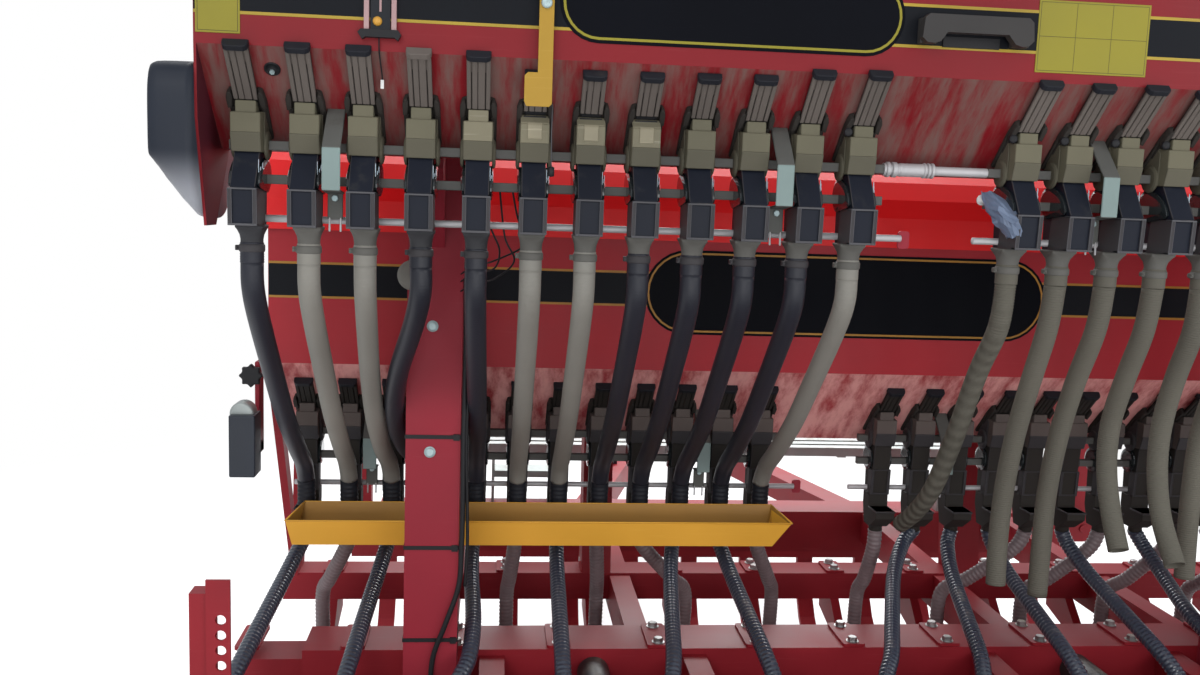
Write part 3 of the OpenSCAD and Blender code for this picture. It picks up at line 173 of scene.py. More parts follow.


# Name, colour, roughness, share of dust, its scale and colour (which on some also stands for painted light
# and shade), specular level, unevenness, the rest
M = {
    # Painted shade on the upper hopper: darker inner sides of the end plates, and more of the dust colour on
    # the undersides; the streaked dust itself is real
    "hopper": surface("hopper_red", (0.2, 0.0065, 0.0115), 0.46, 0.02, 5, (0.165, 0.098, 0.085), 0.25,
        0.1, up=0.1, under=0.5, stretch=(6, 1, 1), scratch=0.04,
        band=("inner", -0.5, -1.2, (0.05, 0.014, 0.024), 0.8)),
    # Painted light on the main hopper: a lighter copy of the hopper red, with a pale dust colour that
    # lightens it, most on its undersides; painted shade on the inner sides of its end plates
    "hopper_main": surface("hopper_main_lit_red", (0.4, 0.018, 0.028), 0.46, 0.02, 7, (0.92, 0.45, 0.42), 0.25,
        0.1, up=0.1, under=0.56, stretch=(3, 1, 1), scratch=0.04,
        band=("inner", -0.5, -1.2, (0.14, 0.012, 0.02), 0.7)),
    "red": surface("frame_red", (0.26, 0.012, 0.02), 0.48, 0.1, 6, (0.18, 0.07, 0.06), 0.25, up=0.12,
        scratch=0.08),
    # Painted light: the rearward faces of both lids are tinted a brighter red
    "lid": surface("lid_red", (0.42, 0.013, 0.016), 0.42, 0.04, 3, (0.42, 0.05, 0.048), 0.25, 0.08, up=0.2,
        band=("rear", -0.2, -0.75, (0.86, 0.014, 0.016), 0.95)),
    "deep": surface("post_red", (0.28, 0.02, 0.034), 0.52, 0.06, 9, (0.15, 0.06, 0.055), 0.2, 0.1, up=0.15,
        scratch=0.05),
    "stripe": surface("stripe_dark", (0.006, 0.007, 0.01), 0.5, 0.04, 9, (0.03, 0.028, 0.028), 0.12),
    "label_plate": surface("label_dark", (0.003, 0.0035, 0.006), 0.52, 0.02, 9, (0.018, 0.017, 0.018), 0.06),
    "line": surface("line_yellow", (0.38, 0.26, 0.025), 0.45, 0.06, 12),
    "line_deep": surface("line_orange", (0.42, 0.2, 0.022), 0.45, 0.06, 12),
    "sticker": surface("sticker_yellow", (0.25, 0.215, 0.014), 0.45, 0.05, 14, vary=0.08),
    "panel": surface("panel_line", (0.1, 0.085, 0.02), 0.6),
    "slide": surface("slide_plastic", (0.125, 0.106, 0.094), 0.68, 0.3, 30, (0.155, 0.128, 0.11), 0.2,
        grain=0.3),
    "lip": surface("lip_plastic", (0.013, 0.014, 0.019), 0.6, 0.08, 22, (0.05, 0.045, 0.042), 0.2),
    "guide": surface("guide_plastic", (0.03, 0.026, 0.023), 0.72, 0.22, 20, (0.08, 0.062, 0.052), 0.2),
    "housing": surface("housing_plastic", (0.128, 0.118, 0.08), 0.7, 0.2, 18, (0.105, 0.092, 0.068), 0.2,
        0.16, grain=0.25),
    "housing_low": surface("housing_shade", (0.1, 0.092, 0.066), 0.72, 0.16, 18, (0.075, 0.066, 0.052),
        0.2, 0.15, grain=0.25),
    "housing_worn": surface("housing_rubbed", (0.19, 0.172, 0.118), 0.66, 0.16, 24, (0.13, 0.115, 0.085),
        0.2, grain=0.25, scratch=0.3),
    "housing_rub": surface("housing_bright", (0.27, 0.24, 0.165), 0.62, 0.12, 30, (0.16, 0.14, 0.1),
        scratch=0.4),
    # Painted light and shade: a copy of the housing plastic for the main row, darker, with a pinker dust
    # colour
    "housing_main": surface("housing_deep", (0.11, 0.088, 0.08), 0.7, 0.2, 18, (0.17, 0.125, 0.115), 0.2,
        0.2),
    "outlet": surface("outlet_plastic", (0.0085, 0.0108, 0.019), 0.5, 0.05, 18, (0.04, 0.04, 0.04), 0.18,
        up=0.45),
    "outlet_gloss": surface("outlet_side", (0.018, 0.022, 0.024), 0.2, 0.12, 30, (0.05, 0.046, 0.038),
        coat=0.5),
    "edge": surface("outlet_edge", (0.08, 0.079, 0.086), 0.6, 0.15, 25, spec=0.2),
    "edge_dark": surface("outlet_frame", (0.044, 0.041, 0.044), 0.62, 0.22, 25, (0.095, 0.082, 0.074), 0.25),
    "funnel": surface("funnel_plastic", (0.112, 0.108, 0.098), 0.68, 0.25, 26, (0.09, 0.082, 0.07), 0.25,
        grain=0.3),
    "funnel_dark": surface("funnel_soiled", (0.04, 0.04, 0.044), 0.62, 0.25, 26, (0.075, 0.068, 0.062),
        0.2, grain=0.3),
    "bar": surface("bar_grey", (0.1, 0.098, 0.092), 0.62, 0.25, 14, (0.085, 0.072, 0.06), 0.25),
    "rod": surface("rod_bright", (0.46, 0.45, 0.46), 0.5, 0.06, 16, spec=0.5, metal=0.3),
    "zinc": surface("zinc_plate", (0.34, 0.37, 0.36), 0.45, 0.12, 18, vary=0.3, metal=0.5, grain=0.2,
        grain_scale=120),
    "zinc_pale": surface("zinc_front", (0.185, 0.245, 0.235), 0.52, 0.06, 22, vary=0.14, metal=0.1,
        grain=0.25, grain_scale=160),
    "zinc_dull": surface("zinc_soiled", (0.105, 0.106, 0.098), 0.62, 0.2, 22, (0.08, 0.07, 0.06), vary=0.2,
        metal=0.2),
    "steel": surface("steel_worn", (0.38, 0.38, 0.38), 0.38, 0.2, 8, spec=0.5, metal=0.9),
    "hose_black": surface("hose_black", (0.02, 0.021, 0.029), 0.45, 0.08, 10, (0.06, 0.058, 0.062), 0.3,
        up=0.2, ribs=(0.0052, 0.06)),
    "hose_grey": surface("hose_grey", (0.215, 0.205, 0.18), 0.6, 0.2, 12, (0.15, 0.135, 0.115), vary=0.14,
        ribs=(0.0052, 0.1)),
    "hose_dusty": surface("hose_dusty", (0.112, 0.104, 0.084), 0.74, 0.3, 9, (0.125, 0.112, 0.092), 0.2,
        0.14, ribs=(0.0052, 0.25)),
    "tube_black": surface("tube_black", (0.03, 0.038, 0.06), 0.32, 0.04, 10, spec=0.5, coat=0.5),
    "tube_grey": surface("tube_grey", (0.17, 0.13, 0.135), 0.5, 0.15, 10, coat=0.1),
    "rubber": surface("cuff_rubber", (0.012, 0.013, 0.018), 0.55, 0.06, 14, spec=0.2),
    # Painted light: the undersides take a little of the pale dust colour
    "black": surface("cover_black", (0.018, 0.023, 0.034), 0.42, 0.04, 4, (0.12, 0.12, 0.13), 0.3, up=0.15,
        under=0.2, grain=0.15, coat=0.1),
    # Painted sheen: the cover turns pale grey-blue towards its low edge; the other tint is dust
    "cover": surface("cover_dust_and_sheen", (0.014, 0.018, 0.028), 0.46, 0.04, 4, (0.12, 0.11, 0.12), 0.25, up=0.3,
        grain=0.15, band=("height", 1.815, 1.715, (0.34, 0.35, 0.385), 0.92)),
    "dark": surface("dark_paint", (0.02, 0.02, 0.022), 0.58, 0.12, 10, (0.07, 0.062, 0.055), 0.2),
    "cylinder": surface("cylinder_paint", (0.03, 0.03, 0.032), 0.4, 0.2, 10),
    "yellow": surface("trough_yellow", (0.72, 0.36, 0.04), 0.44, 0.06, 10, (0.34, 0.2, 0.06), vary=0.08,
        scratch=0.05),
    # Painted shade: the trough's inner faces take a darker copy of its yellow
    "yellow_in": surface("trough_inside_shaded", (0.36, 0.18, 0.032), 0.55, 0.16, 7, (0.26, 0.15, 0.06),
        vary=0.14),
    "lever": surface("lever_yellow", (0.38, 0.22, 0.02), 0.45, 0.08, 18, vary=0.08, scratch=0.1),
    "handle": surface("handle_plastic", (0.04, 0.037, 0.036), 0.58, 0.25, 14, (0.085, 0.075, 0.068), 0.25),
    "rail": surface("rail_plastic", (0.4, 0.25, 0.25), 0.38, 0.15, 20),
    "rail_white": surface("nut_white", (0.62, 0.62, 0.61), 0.4, 0.1, 30),
    "bag": surface("sleeve_film", (0.13, 0.17, 0.25), 0.3, 0.15, 30, vary=0.3, coat=0.2),
    "ball": surface("ball_orange", (0.62, 0.32, 0.05), 0.35),
    # Painted highlight: pale bluish tabs beside the outlets stand for glints
    "clear": surface("painted_glint_tab", (0.5, 0.6, 0.68), 0.25, 0.2, 60, vary=0.3, coat=0.4),
    "glass": surface("window_dark", (0.01, 0.012, 0.016), 0.12, coat=0.3),
    "bolt": surface("bolt_zinc", (0.36, 0.46, 0.47), 0.38, 0.1, 40, metal=0.3),
    "tie": surface("tie_black", (0.012, 0.012, 0.014), 0.5, 0.05, 30, spec=0.25),
    "tyre": surface("tyre_rubber", (0.02, 0.019, 0.018), 0.76, 0.3, 9, (0.1, 0.085, 0.068), 0.2,
        grain=0.3, grain_scale=200),
    "rim": surface("rim_grey", (0.42, 0.41, 0.39), 0.45, 0.25, 9, (0.22, 0.18, 0.14)),
}

NODE_MATERIAL = {
    "hopper": "upper_hopper", "hopper_main": "main_hopper", "lid": "upper_lid main_lid", "deep": "rear_posts",
    "red": "frame drawbar jack_sleeve rear_coulters front_coulters wheel_frame levelling_tines "
           "tool_beam left_marker right_marker",
    "steel": "towing_eye rear_discs front_discs", "zinc": "jack_leg upper_brackets main_brackets "
             "bar_coupling platform",
    "cover": "end_cover", "black": "drive_box", "outlet": "upper_outlets main_outlets main_collectors",
    "slide": "upper_shutters main_shutters", "housing": "upper_housings main_housings",
    "funnel": "upper_funnels", "bar": "upper_bars main_bars", "dark": "face_fittings harrow harrow_tines",
    "cylinder": "lift_cylinders", "hose_black": "black_hoses", "rubber": "hose_cuffs",
    "tube_black": "rear_seed_tubes", "tie": "post_cable", "hose_grey": "grey_hoses",
    "hose_dusty": "free_hoses", "tube_grey": "front_seed_tubes", "yellow": "trough",
    "rim": "left_rims right_rims", "tyre": "left_tyres right_tyres",
}
for key, names in NODE_MATERIAL.items():
    for name in names.split():
        cad[name].data.materials.clear()
        cad[name].data.materials.append(M[key])


# Mesh building
def mm(*pairs):
    return [(a * MM, b * MM) for a, b in pairs]


def turn(n, start=0.0):
    """Angles of a full turn in n steps."""
    return [start + 2 * math.pi * k / n for k in range(n)]


def circle(at, u, w, r, sides):
    return [at + (u * math.cos(a) + w * math.sin(a)) * r for a in turn(sides)]


class Form:
    """Collects solids, drawn in its own unit, then makes one piece of them."""

    def __init__(self, unit=1.0):
        self.unit = unit
        self.verts, self.along, self.faces, self.slots, self.smooth, self.mats = [], [], [], [], [], []

    def slot(self, key):
        if key not in self.mats:
            self.mats.append(key)
        return self.mats.index(key)

    def add(self, verts, faces, mat, smooth=False, along=None):
        first = len(self.verts)
        self.verts += [tuple(Vector(p) * self.unit) for p in verts]
        self.along += along or [0.0] * len(verts)
        self.faces += [[first + i for i in face] for face in faces]
        self.slots += [self.slot(mat)] * len(faces)
        self.smooth += [smooth] * len(faces)

    def prism(self, plane, mat, low, high, *outline):
        """Outline in a plane (xy, xz or yz), from low to high along the third axis."""
        n, across = len(outline), {"yz": 0, "xz": 1, "xy": 2}[plane]
        verts = [[*p[:across], t, *p[across:]] for t in (low, high) for p in outline]
        faces = [[i, (i + 1) % n, n + (i + 1) % n, n + i] for i in range(n)]
        self.add(verts, faces + [list(range(n - 1, -1, -1)), list(range(n, 2 * n))], mat)

    def box(self, low, high, mat):
        (x0, y0, z0), (x1, y1, z1) = low, high
        self.prism("xy", mat, z0, z1, (x0, y0), (x1, y0), (x1, y1), (x0, y1))

    def loft(self, rings, mat, smooth=True, along=None):
        """Skin over rings with as many points each, closed at both ends."""
        n, last = len(rings[0]), len(rings) - 1
        faces = [[k * n + i, k * n + (i + 1) % n, (k + 1) * n + (i + 1) % n, (k + 1) * n + i]
                 for k in range(last) for i in range(n)]
        faces += [list(range(n - 1, -1, -1)), [last * n + i for i in range(n)]]
        self.add([p for ring in rings for p in ring], faces, mat, smooth, along)

    def lathe(self, mat, profile, at, axis, sides=24, smooth=True, capped=True):
        """Profile (radius, distance along the axis) turned round an axis through at."""
        if capped:
            profile = [(0.0, profile[0][1]), *profile, (0.0, profile[-1][1])]
        axis = Vector(axis).normalized()
        u = axis.orthogonal().normalized()
        w = axis.cross(u)
        self.loft([circle(Vector(at) + axis * t, u, w, r, sides) for r, t in profile], mat, smooth)

    def tube(self, path, radii, mat, sides=16, open_end=0.0, level=False):
        """Round tube on a path; radii one a point or one for all. open_end hollows the far end."""
        path = [Vector(p) for p in path]
        last = len(path) - 1
        if not isinstance(radii, list):
            radii = [radii] * len(path)
        rings, run, runs = [], 0.0, []
        for i, (p, r) in enumerate(zip(path, radii)):
            t = (path[min(i + 1, last)] - path[max(i - 1, 0)]).normalized()
            if level and i in (0, last):
                t = Vector((0, 0, -1))
            x = Vector((1, 0, 0)) if abs(t.x) < 0.9 else Vector((0, 1, 0))
            u = (x - t * x.dot(t)).normalized()
            w = t.cross(u)
            run += (p - path[max(i - 1, 0)]).length * self.unit
            rings.append(circle(p, u, w, r, sides))
            runs.append(run)
        if open_end > 0:
            for depth, wall in ((0.0, 0.0035), (open_end, 0.004)):
                rings.append(circle(path[-1] - t * depth, u, w, radii[-1] - wall, sides))
                runs.append(run)
        self.loft(rings, mat, True, [run for run in runs for side in range(sides)])

    def place(self, other, matrix=Matrix()):
        """Adds another form, moved by a matrix in metres."""
        first = len(self.verts)
        self.verts += [tuple(matrix @ Vector(p)) for p in other.verts]
        self.along += other.along
        self.faces += [[first + i for i in face] for face in other.faces]
        self.slots += [self.slot(other.mats[k]) for k in other.slots]
        self.smooth += other.smooth
        return self

    def piece(self, name, body, slot=None, replaces=(), bevel=0.0, segments=1):
        """Makes the piece, which rides a body and stands for CAD nodes."""
        mesh = bpy.data.meshes.new(name)
        mesh.from_pydata(self.verts, [], self.faces)
        for key in self.mats:
            mesh.materials.append(M[key])
        mesh.polygons.foreach_set("material_index", self.slots)
        mesh.polygons.foreach_set("use_smooth", self.smooth)
        mesh.attributes.new("along", "FLOAT", "POINT").data.foreach_set("value", self.along)
        mesh.update()
        bm = bmesh.new()
        bm.from_mesh(mesh)
        bmesh.ops.recalc_face_normals(bm, faces=bm.faces)
        bm.to_mesh(mesh)
        bm.free()
        obj = bpy.data.objects.new(name, mesh)
        scene.collection.objects.link(obj)
        if bevel > 0:
            mod = obj.modifiers.new("bevel", "BEVEL")
            mod.width, mod.segments = bevel, segments
            mod.limit_method, mod.angle_limit = "ANGLE", math.radians(35)
            graph = bpy.context.evaluated_depsgraph_get()
            made = bpy.data.meshes.new_from_object(obj.evaluated_get(graph))
            obj.modifiers.clear()
            obj.data = made
        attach(obj, body)
        if replaces:
            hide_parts(*replaces)
        return obj


def catmull(points, steps):
    """Smooth curve through the points, steps between neighbours."""
    p = [Vector(q) for q in points]
    out = []
    for i in range(len(p) - 1):
        a, b, c, d = p[max(i - 1, 0)], p[i], p[i + 1], p[min(i + 2, len(p) - 1)]
        for t in (s / steps for s in range(steps)):
            out.append(0.5 * (2 * b + (c - a) * t + (2 * a - 5 * b + 4 * c - d) * t * t
                              + (3 * b - a - 3 * c + d) * t ** 3))
    return out + [p[-1]]


def resample(path, step):
    """The same path with points a fixed step apart."""
    out, need = [path[0]], step
    for a, b in zip(path, path[1:]):
        gap = (b - a).length
        done = 0.0
        while gap - done >= need:
            done += need
            out.append(a + (b - a) * (done / gap))
            need = step
        need -= gap - done
    if (out[-1] - path[-1]).length > step * 0.3:
        out.append(path[-1])
    else:
        out[-1] = path[-1]
    return out


def at(x, row):
    return Matrix.Translation((x, *row))


def round_rect(w, d, r, n=4):
    """Corner points of a rounded rectangle centred on the origin."""
    corners = ((w / 2 - r, d / 2 - r, 0), (r - w / 2, d / 2 - r, 90), (r - w / 2, r - d / 2, 180),
               (w / 2 - r, r - d / 2, 270))
    return [(cx + r * math.cos(a), cy + r * math.sin(a)) for cx, cy, start in corners
            for a in (math.radians(start + 90 * k / n) for k in range(n + 1))]


# Free hoses: y and z in millimetres under the start, one row for each hose of the right half
FREE = [
    [(-1425, 1510), (-1345, 1400), (-1255, 1240), (-1155, 1090), (-1055, 1000), (-970, 945)],
    [(-1425, 1510), (-1375, 1390), (-1325, 1260), (-1295, 1130), (-1285, 1010), (-1290, 900)],
    [(-1425, 1510), (-1365, 1390), (-1315, 1260), (-1285, 1120), (-1280, 990), (-1280, 870)],
    [(-1425, 1510), (-1375, 1400), (-1335, 1290), (-1335, 1190), (-1365, 1100), (-1410, 1020)],
    [(-1430, 1510), (-1385, 1400), (-1355, 1290), (-1355, 1190), (-1385, 1090), (-1450, 1000)],
    [(-1425, 1510), (-1375, 1390), (-1335, 1270), (-1325, 1150), (-1325, 1040), (-1330, 930)],
    [(-1425, 1510), (-1365, 1400), (-1325, 1280), (-1315, 1170), (-1325, 1060), (-1350, 960)],
    [(-1425, 1510), (-1375, 1390), (-1345, 1270), (-1335, 1150), (-1335, 1030), (-1340, 910)],
    [(-1425, 1510), (-1365, 1400), (-1315, 1290), (-1295, 1180), (-1295, 1070), (-1310, 960)],
    [(-1430, 1510), (-1385, 1390), (-1355, 1270), (-1345, 1150), (-1345, 1040), (-1350, 930)],
    [(-1425, 1510), (-1365, 1390), (-1325, 1270), (-1315, 1150), (-1325, 1030), (-1350, 920)],
    [(-1425, 1510), (-1375, 1400), (-1335, 1290), (-1325, 1180), (-1335, 1070), (-1360, 960)],
]
RIB_STEP, RIB_DEPTH = 0.0031, 0.0026
for i, (x, route) in enumerate(zip(RIGHT, FREE)):
    fine = catmull([(x, *HOSE_START)] + [(x, *p) for p in mm(*route)], 5)
    length = sum((b - a).length for a, b in zip(fine, fine[1:]))
    # The first hose is seen nearest, so its ribs are built
    path, radii = resample(fine, 0.0125), HOSE_D / 2
    if i == 0:
        path = resample(fine, RIB_STEP)
        radii = [HOSE_D / 2 - RIB_DEPTH * (k % 2) for k in range(len(path))]
    form = Form()
    form.tube(path, radii, "hose_dusty", open_end=0.05)
    hose = form.piece(f"free_hose_{i + 1}", "chassis", "grey_rubber")
    if i == 0:
        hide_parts("free_hoses")
    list(HOSE_START)
    [tuple(p) for p in fine]


# Metering units, drawn in millimetres from a unit's origin
def shutter_form(pull=0, dusty_lip=False):
    """Guide with curled shoulders, ribbed slide and lip, in the slope's own frame."""
    f = Form(MM)
    f.prism("xy", "guide", 0, 8, (-35, -24), (35, -24), (35, 70), (31, 96), (22, 100), (20, 78), (-20, 78),
            (-22, 100), (-31, 96), (-35, 70))
    f.box((-20, 60, 6), (20, 78, 11), "dark")
    for s in (-1, 1):
        f.prism("xy", "guide", 7, 20, (s * 35, 60), (s * 35, 86), (s * 32, 97), (s * 26, 100), (s * 24, 90),
                (s * 26, 64))
        f.box((min(s * 24, s * 31), 20, 7), (max(s * 24, s * 31), 58, 13), "guide")
    top = 158 + pull
    f.box((-22, 76, 7), (22, top, 12.5), "guide")
    for x0, x1 in ((-22, -14), (-12, -2), (-1, 12), (14, 22)):
        f.box((x0, 80, 8), (x1, top, 16.5), "slide")
    f.box((-15, top - 30, 8), (15, top, 13.5), "slide")
    f.prism("xz", "slide" if dusty_lip else "lip", top, top + 12, (-23, 2), (23, 2), (23, 13), (21, 19),
            (15, 23), (-15, 23), (-21, 19), (-23, 13))
    return f


def housing_form(worn=0):
    """Neck and body of a metering housing; worn ones have a rubbed face and a recess."""
    body, seat = ("housing_worn" if worn else "housing"), 11.3
    f = Form(MM)
    if worn < 2:
        f.prism("yz", body, -19, 19, (-54, 54 - seat), (-72, 44), (-72, 16), (-24, 24 - seat))
    else:
        f.prism("yz", "dark", -22, 22, (-50, 50 - seat), (-62, 38), (-62, 16), (-24, 24 - seat))
        f.prism("yz", "housing_rub", -14, 14, (-46, 40), (-75, 24), (-78, 20), (-78, -6), (-70, -10),
                (-40, 0))
        f.prism("yz", body, -27.5, 27.5, (-50, 40), (-56, 40), (-76, 24), (-72, 20))
    f.prism("yz", body, -27.5, 27.5, (-38, 38 - seat), (-76, 22), (-76, -13), (-66, -50), (10, -50),
            (10, -10 - seat))
    f.prism("yz", "housing_low", -27.7, 27.7, (-77.2, -14), (-77.2, -17), (-67.6, -50.5), (-64, -50.5),
            (-72, -14))
    for s in (-1, 1):
        f.prism("yz", "housing_low", s * 27.5, s * 30, (-40, 30), (-50, 16), (-50, -48), (4, -48), (4, -6))
        f.lathe("housing_low", [(28, 27.5), (28, 32), (22, 34.5)], (0, BAR_Y, -36), (s, 0, 0), 20, False)
    return f


def outlet_form(knob=False, reach=0.0):
    """Outlet box with side discs, and the framed flap below, which leans out by reach (metres)."""
    f = Form(MM)
    f.prism("yz", "outlet", -22.5, 22.5, (-60, -50), (8, -50), (8, -110), (4, -188), (-49, -188), (-53, -116))
    f.prism("yz", "outlet", -20, 20, (-52, -122), (-30, -122), (-30, -186), (-48.5, -186))
    for s in (-1, 1):
        f.prism("yz", "edge_dark", s * 19, s * 26.5, (-55.5, -119), (-30, -119), (-26, -188), (-52.5, -188))
        for x0, x1 in ((18.6, 20.2), (25.2, 26.7)):
            f.prism("yz", "edge", s * x0, s * x1, (-56.6, -118.5), (-54.5, -118.5), (-51.4, -188.3),
                    (-53.4, -188.3))
        disc = [(33, 22.5), (34, 28.5), (26, 31)]
        f.lathe("outlet_gloss", disc, (0, BAR_Y + 6, -92), (s, 0, 0), 28, False)
        f.prism("yz", "edge_dark", s * 21.5, s * 23.2, (-60, -50), (-56, -50), (-50, -116), (-54, -116))
    for y0, z0, z1 in ((-56.5, -121.5, -118), (-53, -188.3, -184)):
        f.box((-26.5, y0, z0), (26.5, -40, z1), "edge")
    # The front leans out from the flap's hinge down, and the back of the box stays
    hinge, fall, back, blend = -0.052, 0.066, -0.029, 0.012
    for k, (x, y, z) in enumerate(f.verts):
        if y < back:
            lean = min(1.0, max(0.0, (hinge - z) / fall)) * min(1.0, (back - y) / blend)
            f.verts[k] = (x, y - reach * lean, z)
    if knob:
        f.lathe("tie", [(7, 0), (9, 3), (9, 8), (6, 10)], (-30, -60, 32), (0, -1, 0), 16)
    if reach:
        # Wrinkled tab at the right side, pale as a painted glint
        for x, y, top, low in ((24, -64, -66, -97), (27, -60, -80, -106), (29, -52, -72, -98)):
            f.prism("yz", "clear", x, x + 1.2, (y - 14, top), (y - 11, top + 3), (y - 9, low),
                    (y - 13, low - 2))
    return f


def funnel_form(mat):
    """Square flange that narrows to the round hose spigot."""
    f = Form(MM)
    f.loft([[(x, BAR_Y + y, z) for x, y in round_rect(w, d, r)] for z, w, d, r in (
        (-188, 53, 56, 3), (-193, 53, 56, 3), (-197, 49, 51, 7), (-207, 45, 45, 18), (-216, 43.5, 43.5, 21.6),
        (-240, 43, 43, 21.4), (-262, 41, 41, 20.4))], mat)
    return f


def clamp_form(hose, mat):
    """Top of a hose on its spigot, from z = 0 upwards, with the clamp band and its screw ear."""
    f = Form(MM)
    ribs = [p for k in range(7) for p in ((22.8, -1 + 5 * k), (22.2, 1.5 + 5 * k))]
    band = [(21.5, 34), (24, 33), (24.6, 30), (24.6, 22), (24, 19), (21.5, 18)]
    for key, profile in ((hose, [(21.2, -3), (22.4, -3), *ribs, (22.6, 36), (21.4, 38)]), (mat, band)):
        f.lathe(key, profile, (0, 0, 0), (0, 0, 1), capped=False)
    f.box((-31, -6, 21), (-22, 5, 31), mat)
    f.lathe(mat, [(2.5, -9), (2.5, 9)], (-28, -1, 26), (0, 1, 0), 10)
    return f


def collector_form():
    """Black box under a main unit, with the socket for the hose and the lower spigot."""
    f = Form(MM)
    f.prism("yz", "outlet", -26, 26, (-48, -188), (2, -188), (2, -221), (-16, -276), (-58, -276),
            (-106, -243), (-106, -221), (-50, -221))
    f.prism("yz", "edge_dark", -28, 28, (-108, -221), (-46, -221), (-46, -226), (-108, -226))
    f.lathe("outlet", [(18, -292), (18, -276), (24, -274), (24, -266)], (0, -38, 0), (0, 0, 1), 20)
    return f


SLOPE = Matrix.Rotation(math.radians(135), 4, "X")
# Painted light and shade: the main row's units take darker copies of the housing, slide and edge colours, and
# a lighter outlet colour
MAIN_ROW_LIGHT_AND_SHADE = {"housing": "housing_main", "housing_low": "edge_dark", "slide": "guide", "edge": "edge_dark",
              "outlet": "guide"}


def unit_set(name, row, build, replaces, slot, bevel, details=None):
    """One piece of all 24 like forms of a row; details gives each unit's own."""
    form, made = Form(), {}
    for i, x in enumerate(UNITS):
        key = details(i) if details else ()
        if key not in made:
            made[key] = build(*key)
            if row is MAIN:
                made[key].mats = [MAIN_ROW_LIGHT_AND_SHADE.get(mat, mat) for mat in made[key].mats]
        form.place(made[key], at(x, row) @ (SLOPE if build is shutter_form else Matrix()))
    form.piece(name, "chassis", slot, (replaces,), bevel)


# By unit number: wear of the housings, and how far the slides are pulled out in mm
WORN = {4: 1, 5: 2, 6: 2, 7: 2}
PULLED = [37, 37, 37, 37, 37, 0, 5, 7, 10, 13, 32, 36, 32, 30, 32, 24, 30, 28, 33, 26, 31, 34, 28, 30]
unit_set("upper_slides", UPPER, shutter_form, "upper_shutters", "shutter_plastic", 0.0012,
         lambda i: (PULLED[i], i == 3))
unit_set("upper_housing_bank", UPPER, housing_form, "upper_housings", "housing_plastic", 0.0016,
         lambda i: (WORN.get(i, 0),))
unit_set("upper_outlet_bank", UPPER, outlet_form, "upper_outlets", "black_plastic", 0.0008,
         lambda i: (i >= 11, 0.05))
unit_set("main_slides", MAIN, shutter_form, "main_shutters", "shutter_plastic", 0.0012)
unit_set("main_housing_bank", MAIN, housing_form, "main_housings", "housing_plastic", 0.0016)
unit_set("main_outlet_bank", MAIN, outlet_form, "main_outlets", "black_plastic", 0.0008)
unit_set("collector_bank", MAIN, collector_form, "main_collectors", "black_plastic", 0.0015)

# Held hoses of the left half: side bow in mm by unit number, and which units have grey hoses
BOWS = {2: -14, 3: -76, 4: 4}
GREY_UNITS, DARK_FUNNELS, DARK_CLAMPS = (1, 2, 5, 6, 11), (0, 3, 4), (0, 3, 4, 7, 8, 9, 10)
funnels, clamps = Form(), Form()
for i, x in enumerate(UNITS):
    funnels.place(funnel_form("funnel_dark" if i in DARK_FUNNELS else "funnel"), at(x, UPPER))
    hose = "hose_dusty" if i >= HALF_ROW else "hose_grey" if i in GREY_UNITS else "hose_black"
    clamps.place(clamp_form(hose, "edge_dark" if i in DARK_CLAMPS else "funnel"),
                 Matrix.Translation((x, HOSE_START[0], HOSE_START[1] + 0.001)))
funnels.piece("upper_funnel_bank", "chassis", "grey_plastic", ("upper_funnels",))
clamps.piece("hose_clamps", "chassis", "grey_plastic", (), 0.0008)

# Bars, rods and brackets, in millimetres from the middle of a row
ROW_IN, ROW_OUT = (INNER - 0.06) / MM, (UNITS[-1] + 0.04) / MM
for name, row in (("upper", UPPER), ("main", MAIN)):
    f = Form(MM)
    for s in (-1, 1):
        low, high = sorted((s * ROW_IN, s * ROW_OUT))
        for z0 in (-36, -100):
            f.prism("yz", "bar", low, high, *[(y + BAR_Y, z + z0) for y, z in round_rect(18, 18, 2, 2)])
        low, high = sorted((-62 if s < 0 else 90, s * ROW_OUT))
        rod = [(6.2, low), (7, low + 1), (7, high - 1), (6.2, high)]
        f.lathe("rod", rod, (0, BAR_Y, -175), (1, 0, 0), 18)
    f.prism("xz", "deep", BAR_Y + 10, BAR_Y + 14, *[(x - 52, z - 178) for x, z in round_rect(24, 36, 6)])
    Form().place(f, at(0, row)).piece(f"{name}_bar_set", "chassis", "zinc", (f"{name}_bars",))


def bracket_form():
    """Bent plate: dull upper facet, pale front facet and the fork below it."""
    f = Form(MM)
    w, t = 17, 4
    f.prism("yz", "zinc_dull", -w, w, (-38, 38), (-108, -38), (t - 108, -40), (t - 36, 34))
    f.prism("yz", "zinc_pale", -w, w, (-108, -38), (-108, -118), (t - 108, -115), (t - 108, -39))
    f.prism("yz", "zinc_dull", -w, w, (-108, -118), (-46, -124), (-46, -120), (t - 108, -115))
    f.prism("yz", "zinc_dull", -14.5, 14.5, (-50, -121), (-50, -172), (-46, -172), (-46, -120))
    for s in (-1, 1):
        f.prism("yz", "rod", s * 8.5, s * 12.5, (-50, -168), (-52, -196), (-49, -196), (-47, -168))
    f.lathe("bolt", [(7, 0), (7, 5)], (0, -49.5, -132), (0, -1, 0), 6, False)
    return f


for name, row in (("upper", UPPER), ("main", MAIN)):
    f = Form()
    for i in (1, 9, 13, 21):
        f.place(bracket_form(), at((UNITS[i] + UNITS[i + 1]) / 2, row))
    f.piece(f"{name}_bracket_set", "chassis", "zinc", (f"{name}_brackets",), 0.0012)

